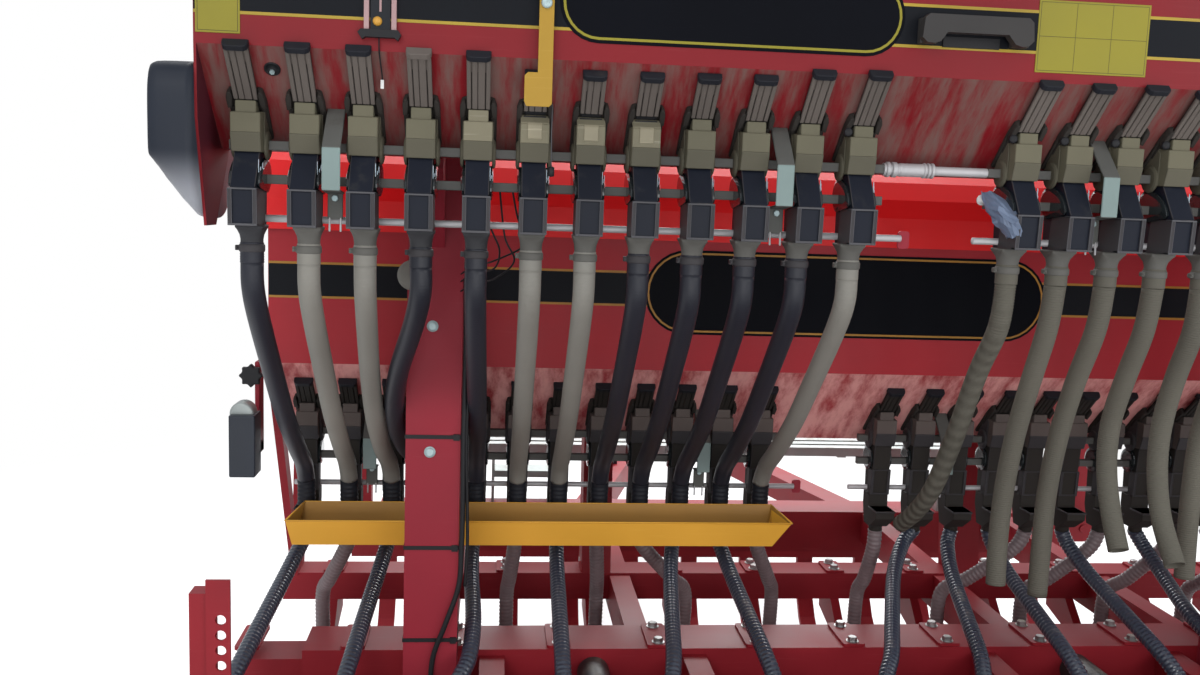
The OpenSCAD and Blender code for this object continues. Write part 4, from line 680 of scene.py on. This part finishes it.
# Coupling tube in the middle gap, from left to right: length and radius of each collar
f, x, profile = Form(MM), -ROW_IN, [(10, -ROW_IN)]
for length, r in ((6, 13), (8, 15.5), (4, 11), (10, 15.5), (6, 12.5), (50, 13.5), (5, 15.5), (3, 12),
                  (5, 15.5), (3, 12), (6, 15.5), (3, 10)):
    profile += [(r, x + 0.5), (r, x + length - 0.5)]
    x += length
f.lathe("rod", [*profile, (9.5, x + 1), (9.5, ROW_IN)], (0, BAR_Y, -36), (1, 0, 0), 28, False)
Form().place(f, at(0, UPPER)).piece("coupling_tube", "chassis", "zinc", ("bar_coupling",), 0.0006)

# Held hoses: y, z and share of the side bow on the way to the cuff
STEPS = [(HOSE_START[0] + 0.006, HOSE_START[1] - 0.05, 0), (HOSE_START[0] + 0.058, 1.488, 0.2),
         (-1.24, 1.35, 0.8), (-1.11, 1.232, 1), (-0.97, 1.13, 0.8), (-0.88, 1.07, 0.2)]
black, grey, cuffs = Form(), Form(), Form()
cuff = [(21.5, -70), (23, -68)]
for z in range(-62, -7, 11):
    cuff += [(23, z), (21.8, z + 3), (21.8, z + 6), (23, z + 9)]
cuff += [(23, -4), (22.2, 0)]
for i, x in enumerate(UNITS[:HALF_ROW]):
    route = [(x, *HOSE_START)] + [(x + BOWS.get(i, 0) * MM * s, y, z) for y, z, s in STEPS] + [(x, *CUFF_AT)]
    form, mat = (grey, "hose_grey") if i in GREY_UNITS else (black, "hose_black")
    form.tube(resample(catmull(route, 8), 0.01), HOSE_D / 2, mat, 20, level=True)
    cuffs.lathe("rubber", mm(*cuff), (x, *CUFF_AT), (0, 0, 1), 28)
black.piece("black_hose_set", "chassis", "black_rubber", ("black_hoses",))
grey.piece("grey_hose_set", "chassis", "grey_rubber", ("grey_hoses",))
cuffs.piece("cuff_set", "chassis", "black_rubber", ("hose_cuffs",))

# Corrugated seed tubes: the units that feed a row, then y, z, share of the way across and of the side bow
REAR_UNITS = (0, 2, 4, 6, 9, 10, 13, 14, 15, 17, 19, 21)
FRONT_UNITS = [unit for unit in range(len(UNITS)) if unit not in REAR_UNITS]
REAR_STEPS = [(-0.812, 0.838, 0.15, 0), (-0.9, 0.785, 0.37, 0.3), (-1.06, 0.727, 0.62, 1),
              (-1.18, 0.684, 0.8, 1), (-1.24, 0.65, 0.94, 0.3), (-1.29, 0.61, 1, 0)]
FRONT_STEPS = [(-0.788, 0.82, 0.15, 0), (-0.745, 0.72, 0.7, 0), (-0.7, 0.66, 1, 0)]
TUBE_BOWS, BOOT_TOP, TUBE_R, GROOVE = {4: 26, 19: -62}, 0.52, 0.02, 0.0016
for name, units, steps, first, boot_y, mat, slot in (
        ("rear", REAR_UNITS, REAR_STEPS, 0, -1.31, "tube_black", "black_rubber"),
        ("front", FRONT_UNITS, FRONT_STEPS, 1, -0.69, "tube_grey", "grey_rubber")):
    f = Form()
    for n, unit in enumerate(units):
        x, end_x = UNITS[unit], (first + 2 * n - 11.5) * ROW_PITCH + ARM_SHIFT
        bow = TUBE_BOWS.get(unit, 0) * MM
        route = [(x, *SPIGOT_AT)] + [(x + (end_x - x) * s + bow * b, y, z) for y, z, s, b in steps]
        path = resample(catmull(route + [(end_x, boot_y, BOOT_TOP)], 8), 0.0028)
        f.tube(path, [TUBE_R - GROOVE * (k // 2 % 2) for k in range(len(path))], mat, 12, level=True)
    f.piece(f"{name}_tube_set", "chassis", slot, (f"{name}_seed_tubes",))

# Calibration trough: left and right end, rear edge, bottom; height, depth, sheet, rise of the far rim
T_LEFT, T_RIGHT, T_REAR, T_Z = -1.3845, -0.1195, -0.98, 0.883
T_H, T_D, T_SHEET, T_RISE = 0.065, 0.1, 0.0025, 0.02
# How far the bottom stands in at the left, the bottom at the right, and the far rim at both ends
T_LOW_LEFT, T_LOW_RIGHT, T_FAR = 0.014, 0.046, 0.03


def trough_ring(t):
    """Bottom and rim of the trough, four points each, a sheet's thickness t further in."""
    left, right, near, far = T_LEFT + t, T_RIGHT - t, T_REAR + t, T_REAR + T_D - t
    low = [(left + T_LOW_LEFT, near + 0.012, T_Z + t), (right - T_LOW_RIGHT, near + 0.012, T_Z + t),
           (right - T_LOW_RIGHT, far - 0.014, T_Z + t), (left + T_LOW_LEFT, far - 0.014, T_Z + t)]
    rim = [(left, near, T_Z + T_H), (right, near, T_Z + T_H), (right - T_FAR, far, T_Z + T_H + T_RISE),
           (left + T_FAR, far, T_Z + T_H + T_RISE)]
    return low, rim


f = Form()
low_out, rim_out = trough_ring(0.0)
low_in, rim_in = trough_ring(T_SHEET)
walls = [[i, (i + 1) % 4, 4 + (i + 1) % 4, 4 + i] for i in range(4)]
f.add(low_out + rim_out, walls + [[3, 2, 1, 0]], "yellow")
# Inner faces in the darker yellow, painted shade
f.add(low_in + rim_in, [wall[::-1] for wall in walls] + [[0, 1, 2, 3]], "yellow_in")
f.add(rim_out + rim_in, walls, "yellow")
f.piece("trough_sheet", "chassis", "yellow_paint", ("trough",))
f = Form()
for ends in zip(rim_out, rim_out[1:] + rim_out[:1]):
    f.tube([(x, y, z - 0.001) for x, y, z in ends], 0.0022, "yellow", 8)
f.piece("trough_rim", "chassis", "yellow_paint")


# Stripes, labels and stickers, bare of print, in millimetres from a hopper's rear face
def plate(f, x0, x1, z0, z1, mat, t=0.8):
    f.box((x0, -t, z0), (x1, 0.4, z1), mat)


def pill(x0, x1, z0, z1, inset=0.0, n=14):
    """Outline with two half-round ends."""
    half, mid = (z1 - z0) / 2, (z0 + z1) / 2
    r = half - inset
    return [(cx + r * math.cos(a), mid + r * math.sin(a)) for cx, start in ((x1 - half, -90), (x0 + half, 90))
            for a in (math.radians(start + 180 * k / n) for k in range(n + 1))]


def label(f, box, line):
    """Dark plate with a coloured line just inside its edge."""
    f.prism("xz", "label_plate", -1.8, 0.4, *pill(*box))
    outer, inner = pill(*box, 6), pill(*box, 11)
    n = len(outer)
    verts = [(x, y, z) for y in (-1.5, -2.2) for ring in (outer, inner) for x, z in ring]
    faces = [face for i, j in ((i, (i + 1) % n) for i in range(n)) for face in (
        [2 * n + i, 2 * n + j, 3 * n + j, 3 * n + i], [i, j, 2 * n + j, 2 * n + i],
        [n + i, n + j, 3 * n + j, 3 * n + i], [i, j, n + j, n + i])]
    f.add(verts, faces, line)


stripes, signs = Form(), Form()
for face, half, z0, z1, box, line, label_line in (
        (UP_FACE, 1433, 2057, 2133, (-780, -126, 2034, 2181), "line", "sticker"),
        (MAIN_FACE, 1435, 1490, 1573, (-513, 538, 1419, 1632), "line_deep", "line_deep")):
    f = Form(MM)
    plate(f, -half, half, z0, z1, "stripe")
    for z in (z0, z1):
        plate(f, -half, half, z - 2.8, z + 2.8, line, 1.1)
    stripes.place(f, at(0, (face, 0)))
    f = Form(MM)
    label(f, box, label_line)
    signs.place(f, at(0, (face, 0)))
stripes.piece("face_stripes", "chassis", "black_plastic")

f = Form(MM)
for x0, x1, across in ((-1430, -1352, 1), (137, 362, 3)):
    plate(f, x0, x1, 2020, 2156, "sticker", 1.6)
    for k in range(across + 1):
        x = x0 + 4 + (x1 - x0 - 8) * k / across
        plate(f, x - 0.6, x + 0.6, 2024, 2152, "panel", 1.9)
    for z in (2024, 2088, 2152):
        plate(f, x0 + 4, x1 - 4, z - 0.6, z + 0.6, "panel", 1.9)

# Handle, sight window with its ball, and hanging lever
f.prism("xz", "handle", -34, -14, (-102, 2070), (-92, 2061), (-78, 2060), (-66, 2064), (-54, 2081),
        (66, 2081), (80, 2064), (94, 2060), (106, 2062), (116, 2072), (113, 2106), (104, 2114), (-90, 2114),
        (-99, 2106))
for x0, x1, depth, z0, z1, mat in (
        (-100, -68, 16, 2062, 2108, "handle"), (82, 114, 16, 2062, 2108, "handle"),
        (-50, 62, 4, 2058, 2078, "dark"), (-1133, -1124, 10, 2027, 2173, "rail"),
        (-1084, -1075, 10, 2027, 2173, "rail"), (-1122, -1086, 4, 2027, 2173, "glass")):
    f.box((x0, -depth, z0), (x1, 0, z1), mat)
f.box((-1106, -6, 2070), (-1102, -3, 2173), "rail")
f.prism("xz", "tie", -14, 0, (-1144, 2032), (-1136, 2020), (-1130, 2024), (-1078, 2024), (-1072, 2019),
        (-1066, 2030), (-1072, 2038), (-1138, 2038))
ball = [(8.5 * math.sin(a), -8.5 * math.cos(a)) for a in (math.pi * k / 12 for k in range(13))]
f.lathe("ball", ball, (-1109, -7, 2053), (0, 0, 1), 20, capped=False)
f.prism("xz", "lever", -22, -18, (-842, 1922), (-838, 1913), (-796, 1913), (-791, 1918), (-791, 2150),
        (-796, 2158), (-812, 2158), (-818, 2150), (-818, 1974), (-836, 1974), (-842, 1968))
f.lathe("bolt", [(9, -2), (10, 0), (10, 5), (7, 7)], (-805, -22, 2098), (0, -1, 0), 20)
f.lathe("bolt", [(6, 0), (6, 19)], (-805, -19, 2098), (0, 1, 0), 14)
signs.place(f, at(0, (UP_FACE, 0)))
signs.piece("face_trim", "chassis", "black_plastic", ("face_fittings",), 0.0012)


# End cover
def smooth_ring(points, cuts):
    """Closed outline with its corners rounded by quadratic curves."""
    n, out = len(points), []
    for i in range(n):
        a, b, c = (Vector(points[(i + k) % n]) for k in (-1, 0, 1))
        start, end = b.lerp(a, 0.35), b.lerp(c, 0.35)
        out += [tuple(start.lerp(b, t).lerp(b.lerp(end, t), t)) for t in (k / cuts for k in range(cuts + 1))]
    return out


X_END, C_REAR, C_TOP, C_LOW, C_LIFTED = -1.434, UP_FACE - 0.014, 1.974, 1.686, 1.8
PIVOT = (C_REAR + 0.154, 1.87)
outline = [(C_REAR + y, z) for y, z in (
    (0.014, C_TOP - 0.012), (0, C_TOP - 0.052), (0, C_LOW + 0.09), (0.064, C_LOW), (0.238, C_LOW),
    (0.308, C_LOW + 0.09), (0.308, C_TOP - 0.052), (0.248, C_TOP), (0.052, C_TOP))]
# Rings from the hopper outwards: distance, shrink towards the pivot, lift of the low edge
rings, f = [], Form()
for out_x, shrink, lift in ((0.0, 1.0, 0.0), (0.014, 1.0, 0.004), (0.036, 1.0, 0.03), (0.06, 0.995, 0.064),
                            (0.072, 0.985, 0.084), (0.078, 0.965, 0.094), (0.0805, 0.93, 0.1),
                            (0.081, 0.88, 0.104)):
    rings.append([(X_END - out_x, PIVOT[0] + (y - PIVOT[0]) * shrink, PIVOT[1] + (z - PIVOT[1]) * shrink
                   + lift * min(max(0.0, (C_LIFTED - z) / (C_LIFTED - C_LOW)), 1.0))
                  for y, z in smooth_ring(outline, 5)])
f.loft(rings, "cover")
f.piece("drive_cover", "chassis", "black_plastic", ("end_cover",))

# Small fastenings: cover, posts, slope, middle gap, left post
HOLE_Z = 1.965
SLOPE_Y = UP_FACE + 2.001 - HOLE_Z
f = Form()
f.lathe("bolt", mm((9, -4), (9, 1), (5, 1.7)), (X_END - 0.081, C_REAR + 0.1, C_TOP - 0.07), (-1, 0, 0), 18)
for x, z in ((1.0248, 1.454), (1.027, 1.165)):
    for s in (-1, 1):
        f.lathe("bolt", mm((13, 0), (13, 3), (10, 4), (10, 10), (7, 11)), (s * x, -1.16, z), (0, -1, 0), 18,
                False)
f.lathe("tie", mm((15, -1), (15, 1.5), (12, 2), (12, 0.5)), (-1.303, SLOPE_Y, HOLE_Z), (0, -1, -1))
f.lathe("bolt", mm((5, 0), (5, 4)), (-1.304, SLOPE_Y + 0.004, HOLE_Z - 0.004), (0, -1, -1), 6, False)
f.lathe("rail_white", mm((11, 0), (11, 4), (6, 5), (6, 12)), (0.099, UPPER[0] + BAR_Y * MM - 0.01, 1.774),
        (0, -1, 0), 20)
f.lathe("hose_grey", mm((30, 0), (34, 4), (34, 12), (26, 16)), (-1.07, -1.16, 1.568), (0, -1, 0), 28)
for z in (1.2, 0.939, 0.717):
    f.box((-1.084, -1.162, z - 0.0045), (-0.956, -1.058, z + 0.0045), "tie")
    f.box((-0.974, -1.1665, z - 0.007), (-0.96, -1.16, z + 0.007), "tie")
f.piece("small_fastenings", "chassis", "zinc")

# Wrinkled sleeve of film round the sensor beside the first right unit
f, rings = Form(), []
for t in (k / 8 for k in range(9)):
    mid = Vector((0.108 + 0.036 * t, UPPER[0] + BAR_Y * MM - 0.016 - 0.052 * min(1, 1.6 * t),
                  1.79 - 0.088 * t))
    size = 0.01 + 0.017 * math.sin(math.pi * (0.08 + 0.84 * t))
    rings.append([mid + Vector((math.cos(a), math.sin(a), 0.25 * math.sin(3 * a + 5 * t)))
                  * size * random.uniform(0.8, 1.12) for a in turn(18)])
f.loft(rings, "bag", False)
f.piece("sensor_sleeve", "chassis", "grey_plastic")

# Thin wire under the lever, cord with a tag from the window's foot, loose wires by the post
wires, f = Form(), Form(MM)
f.tube([(-789, -6, 1920), (-789, -4, 1860), (-788, -6, 1800)], 1.1, "edge", 8)
f.lathe("tie", [(0, -10), (6, -8), (6, 8), (0, 10)], (-788, -6, 1796), (0, 0, 1), 12, capped=False)
cord = [(-1106, -6, 2024), (-1106, -4, 2004), (-1105, 14, 1980), (-1104, 32, 1962), (-1104, 44, 1950)]
f.tube(catmull(cord, 6), 1.3, "tie", 8)
f.box((-1107, 36, 1938), (-1101, 37.5, 1954), "rail_white")
wires.place(f, at(0, (UP_FACE, 0)))
f = Form(MM)
for shift, drop in ((0, 0), (30, 22), (55, -16)):
    loop = [(shift - 912, -1434, 1760), (shift - 900, -1420, 1690 - drop), (shift - 880, -1400, 1640 - drop),
            (-890, -1360, 1600 - drop), (-930, -1290, 1585 - drop), (-962, -1200, 1560 - drop)]
    f.tube(catmull(loop, 8), 2, "tie", 8)
wires.place(f).piece("thin_wires", "chassis", "black_rubber")

CABLE = [(-952, -1164, 1560), (-950, -1166, 1430), (-950, -1166, 1300), (-951, -1166, 1180),
         (-950, -1166, 1060), (-951, -1166, 940), (-956, -1168, 850), (-985, -1174, 760), (-1012, -1170, 680),
         (-1018, -1170, 600)]
f = Form(MM)
f.tube(catmull(CABLE, 8), 6, "tie", 12)
thin = [(x + 10 + 4 * math.sin(0.009 * z), y + 2, z) for x, y, z in CABLE[:7]]
f.tube(catmull(thin, 8), 3.8, "tie", 10)
f.piece("post_cable_pair", "chassis", "black_rubber", ("post_cable",))

# Gearbox, red bracket and star knob, in millimetres from the main hopper's left end
X_MAIN, KNOB_Z = -1.436, 1297
f = Form(MM)
f.box((-62, -1060, 1074), (-2, -990, 1222), "black")
f.box((-30, -1000, 1100), (-18, -880, 1132), "deep")
f.box((-30, -930, 1100), (-18, -880, 1330), "deep")
f.lathe("steel", [(8, -18), (8, 14)], (-34, -900, KNOB_Z), (-1, 0, 0), 16)
star = [(30 - 7.8 * (k % 2), a) for k, a in enumerate(turn(16))]
f.prism("xz", "tie", -946, -930, *[(r * math.cos(a) - 36, KNOB_Z + r * math.sin(a)) for r, a in star])
f.lathe("steel", [(9, 0), (9, 32)], (-36, -932, KNOB_Z), (0, 1, 0), 16)
f.lathe("zinc", [(26, -22), (28, -18), (28, 18), (26, 22)], (-36, -1020, 1222), (0, 1, 0), 28)
gearbox = Form().place(f, at(X_MAIN, (0, 0)))
gearbox.piece("gearbox", "chassis", "black_plastic", ("drive_box",), 0.004, 3)

# Tread of the packer tyres: lugs lean to both sides of the middle
WHEEL_Y, WHEEL_Z, WHEEL_PITCH, WHEELS, LUGS = -1.98, 0.325, 0.25, 6, 36
LUG = ((0.03, 0.0), (0.06, 0.055), (0.06, 0.095), (0.03, 0.04))
LUG_FACES = [[0, 2, 4, 6], [7, 5, 3, 1], [0, 1, 3, 2], [2, 3, 5, 4], [4, 5, 7, 6], [6, 7, 1, 0]]


def on_wheel(x, r, a):
    return x, WHEEL_Y + r * math.cos(a), WHEEL_Z + r * math.sin(a)


for side, name in ((-1, "left"), (1, "right")):
    f = Form()
    for n in range(WHEELS):
        x = side * (n + 0.5) * WHEEL_PITCH
        for s, shift in ((-1, 0.75), (1, 0.25)):
            for a in turn(LUGS, 2 * math.pi * shift / LUGS):
                points = [on_wheel(x + s * dx, r, a + da) for dx, da in LUG for r in (0.318, 0.3235)]
                f.add(points, LUG_FACES, "tyre")
    f.piece(f"{name}_tread", f"{name}_wheels", "tyre")


# Bolts, caps and grips of the other sides
def nut(f, at, axis, r, h, mat, washer=True):
    """Hexagon nut with a washer, from its seat outwards."""
    if washer:
        f.lathe(mat, [(r * 1.35, 0.0), (r * 1.35, h * 0.18)], at, axis, 18, False)
    f.lathe(mat, [(r, 0.0), (r, h * 0.9), (r * 0.85, h)], at, axis, 6, False)


RING_FACES = [[4 * k + j, 4 * k + (j + 1) % 4, 4 * ((k + 1) % 48) + (j + 1) % 4, 4 * ((k + 1) % 48) + j]
              for k in range(48) for j in range(4)]
for side, name in ((-1, "left"), (1, "right")):
    f = Form()
    for n in range(WHEELS):
        cx = side * (n + 0.5) * WHEEL_PITCH
        for a in turn(6, math.radians(15 * n)):
            nut(f, on_wheel(cx + side * 0.0078, 0.1, a), (side, 0, 0), 0.012, 0.014, "steel")
        # Two raised rings on each sidewall: radius and distance from the tyre's middle
        for s in (-1, 1):
            for r, x in ((0.246, 0.081), (0.268, 0.0845)):
                ring = [(r - 0.003, x - 0.002), (r - 0.0015, x + 0.0022), (r + 0.0015, x + 0.0022),
                        (r + 0.003, x - 0.002)]
                f.add([on_wheel(cx + s * t, q, a) for a in turn(48) for q, t in ring], RING_FACES, "tyre")
    cap = mm((43, 1423.5), (43, 1428), (36, 1433), (18, 1435.5))
    f.lathe("black", cap, (0, WHEEL_Y, WHEEL_Z), (side, 0, 0), 32)
    f.piece(f"{name}_wheel_nuts", f"{name}_wheels", "steel")

DISC_Z, BEAM_TOP = 0.32, 0.65
for name, axis_y, first, (beam_rear, beam_front) in (("rear", -1.35, 0, (-1.055, -0.915)),
                                                     ("front", -0.72, 1, (-0.506, -0.414))):
    hubs, clamps = Form(), Form()
    pad = round_rect(0.058, beam_front - beam_rear, 0.008)
    for n in range(12):
        x = (first + 2 * n - 11.5) * ROW_PITCH
        for a in turn(5, math.radians(20 * n)):
            seat = (x + 0.0148, axis_y + 0.038 * math.cos(a), DISC_Z + 0.038 * math.sin(a))
            nut(hubs, seat, (1, 0, 0), 0.0075, 0.008, "zinc", False)
        x += ARM_SHIFT
        clamps.prism("xy", "red", BEAM_TOP - 0.001, BEAM_TOP + 0.007,
                     *[(x + px, (beam_rear + beam_front) / 2 + py) for px, py in pad])
        for y in (beam_rear + 0.02, beam_front - 0.02):
            nut(clamps, (x, y, BEAM_TOP + 0.006), (0, 0, 1), 0.012, 0.013, "steel")
    hubs.piece(f"{name}_hub_bolts", f"{name}_discs", "steel")
    clamps.piece(f"{name}_coulter_clamps", "chassis", "red_paint")

for name, rear, z, reach in (("upper", -1.571, 2.344, 0.8), ("main", -0.929, 1.656, 1.02)):
    f = Form()
    for x in (-reach, reach):
        grip = [(x + dx, rear + dy, z) for dx, dy in ((-0.052, 0.002), (-0.05, -0.016), (-0.04, -0.024),
                                                      (0.04, -0.024), (0.05, -0.016), (0.052, 0.002))]
        f.tube(catmull(grip, 6), 0.0055, "tie", 14)
        for s in (-1, 1):
            f.lathe("tie", mm((13, 0), (13, 3), (9, 6)), (x + s * 0.052, rear + 0.001, z), (0, -1, 0), 18)
    f.piece(f"{name}_lid_grips", f"{name}_lid", "black_plastic")

# Oil pipes on the left side of the drawbar, with clips and couplings: x, y, z and half the gap
PIPE = [(-0.56, 0.312, 0.6, 0.014), (-0.556, 0.345, 0.601, 0.014), (-0.535, 0.43, 0.601, 0.014),
        (-0.3, 1.33, 0.601, 0.014), (-0.078, 2.18, 0.601, 0.014), (-0.06, 2.235, 0.62, 0.015),
        (-0.052, 2.255, 0.665, 0.016), (-0.05, 2.262, 0.7, 0.016)]
f = Form()
for s in (-1, 1):
    pipe = [(x + s * gap, y, z) for x, y, z, gap in PIPE]
    f.tube(catmull(pipe, 8), 0.0065, "dark", 14)
    coupling = mm((10, 0), (10, 22), (14, 24), (14, 48), (11, 52))
    f.lathe("steel", coupling, (pipe[-1][0], 2.262, 0.694), (0, 0.15, 1), 20, False)
    nut(f, (pipe[0][0], 0.3005, 0.6), (0, 1, 0), 0.011, 0.016, "steel")
for y in (0.6, 1.1, 1.6, 2.05):
    x = -0.535 + (y - 0.43) * (0.457 / 1.75)
    f.box((x - 0.03, y - 0.012, 0.589), (x + 0.03, y + 0.012, 0.611), "black")
    nut(f, (x, y, 0.611), (0, 0, 1), 0.006, 0.007, "zinc", False)
f.box((-0.078, 2.256, 0.589), (-0.022, 2.262, 0.69), "red")
f.piece("oil_pipes", "chassis", "black_plastic", (), 0.001)

# Floor, which turns as white as the backdrop far away
FLOOR = 60
floor_mesh = bpy.data.meshes.new("floor")
floor_mesh.from_pydata([(-FLOOR, -FLOOR, 0), (FLOOR, -FLOOR, 0), (FLOOR, FLOOR, 0), (-FLOOR, FLOOR, 0)], [],
                       [[0, 1, 2, 3]])
floor = bpy.data.objects.new("floor", floor_mesh)
scene.collection.objects.link(floor)
floor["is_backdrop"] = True
pale = bpy.data.materials.new("floor_pale")
pale.use_nodes = True
floor_mesh.materials.append(pale)
tree, add = pale.node_tree, partial(shader, pale.node_tree)
paint = tree.nodes["Principled BSDF"]
cloudy = add("MapRange", {"Value": add("TexNoise", {"Scale": 2.0}), "To Min": 0.8, "To Max": 0.86})
fill(tree, paint, {"Roughness": 0.85, "Base Color": cloudy})
span = add("VectorMath", {0: add("TexCoord", {}, "Object")}, "Value", operation="LENGTH")
far = add("MapRange", {"Value": span, "From Min": 2.6, "From Max": 5.0})
share = add("Math", {0: far, 1: add("LightPath", {}, "Is Camera Ray")}, operation="MULTIPLY")
glow = add("Emission", {"Color": (1, 1, 1, 1)})
fill(tree, tree.nodes["Material Output"], {
    "Surface": add("MixShader", {"Fac": share, 1: paint.outputs["BSDF"], 2: glow})})

# World: dim for the object, white behind it
world = bpy.data.worlds.new("world")
scene.world = world
world.use_nodes = True
tree, add = world.node_tree, partial(shader, world.node_tree)
lit = tree.nodes["Background"]
fill(tree, lit, {"Color": (0.93, 0.96, 1.0, 1), "Strength": 0.72})
white = add("Background", {"Color": (1, 1, 1, 1), "Strength": 1.0})
fill(tree, tree.nodes["World Output"], {
    "Surface": add("MixShader", {"Fac": add("LightPath", {}, "Is Camera Ray"), 1: lit.outputs[0], 2: white})})

# Lamps: place, aim, size and power
for name, at_lamp, aim, size, power in (
        ("key", (-3.5, -7.5, 5.0), (-0.2, -1.2, 1.4), (4, 3), 125),
        ("low", (-0.2, -7.0, 0.9), (-0.2, -1.0, 1.5), (5, 1.4), 75),
        ("fill", (4.5, -6.0, 3.0), (0.3, -1.2, 1.2), (4, 3), 90),
        ("far", (1.0, 7.0, 5.5), (0, 0, 1.0), (6, 4), 430),
        ("top", (0.3, 1.6, 6.6), (0, -0.7, 1.7), (5, 3), 360)):
    data = bpy.data.lights.new(name, "AREA")
    data.shape, data.energy = "RECTANGLE", power
    data.size, data.size_y = size
    lamp = bpy.data.objects.new(name, data)
    scene.collection.objects.link(lamp)
    lamp.location, lamp.rotation_mode = at_lamp, "QUATERNION"
    lamp.rotation_quaternion = (Vector(aim) - Vector(at_lamp)).to_track_quat("-Z", "Y")

scene.view_settings.view_transform = "Standard"

low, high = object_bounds()
{"cad": [list(cad_box[0]), list(cad_box[1])], "visual": [list(low), list(high)]}
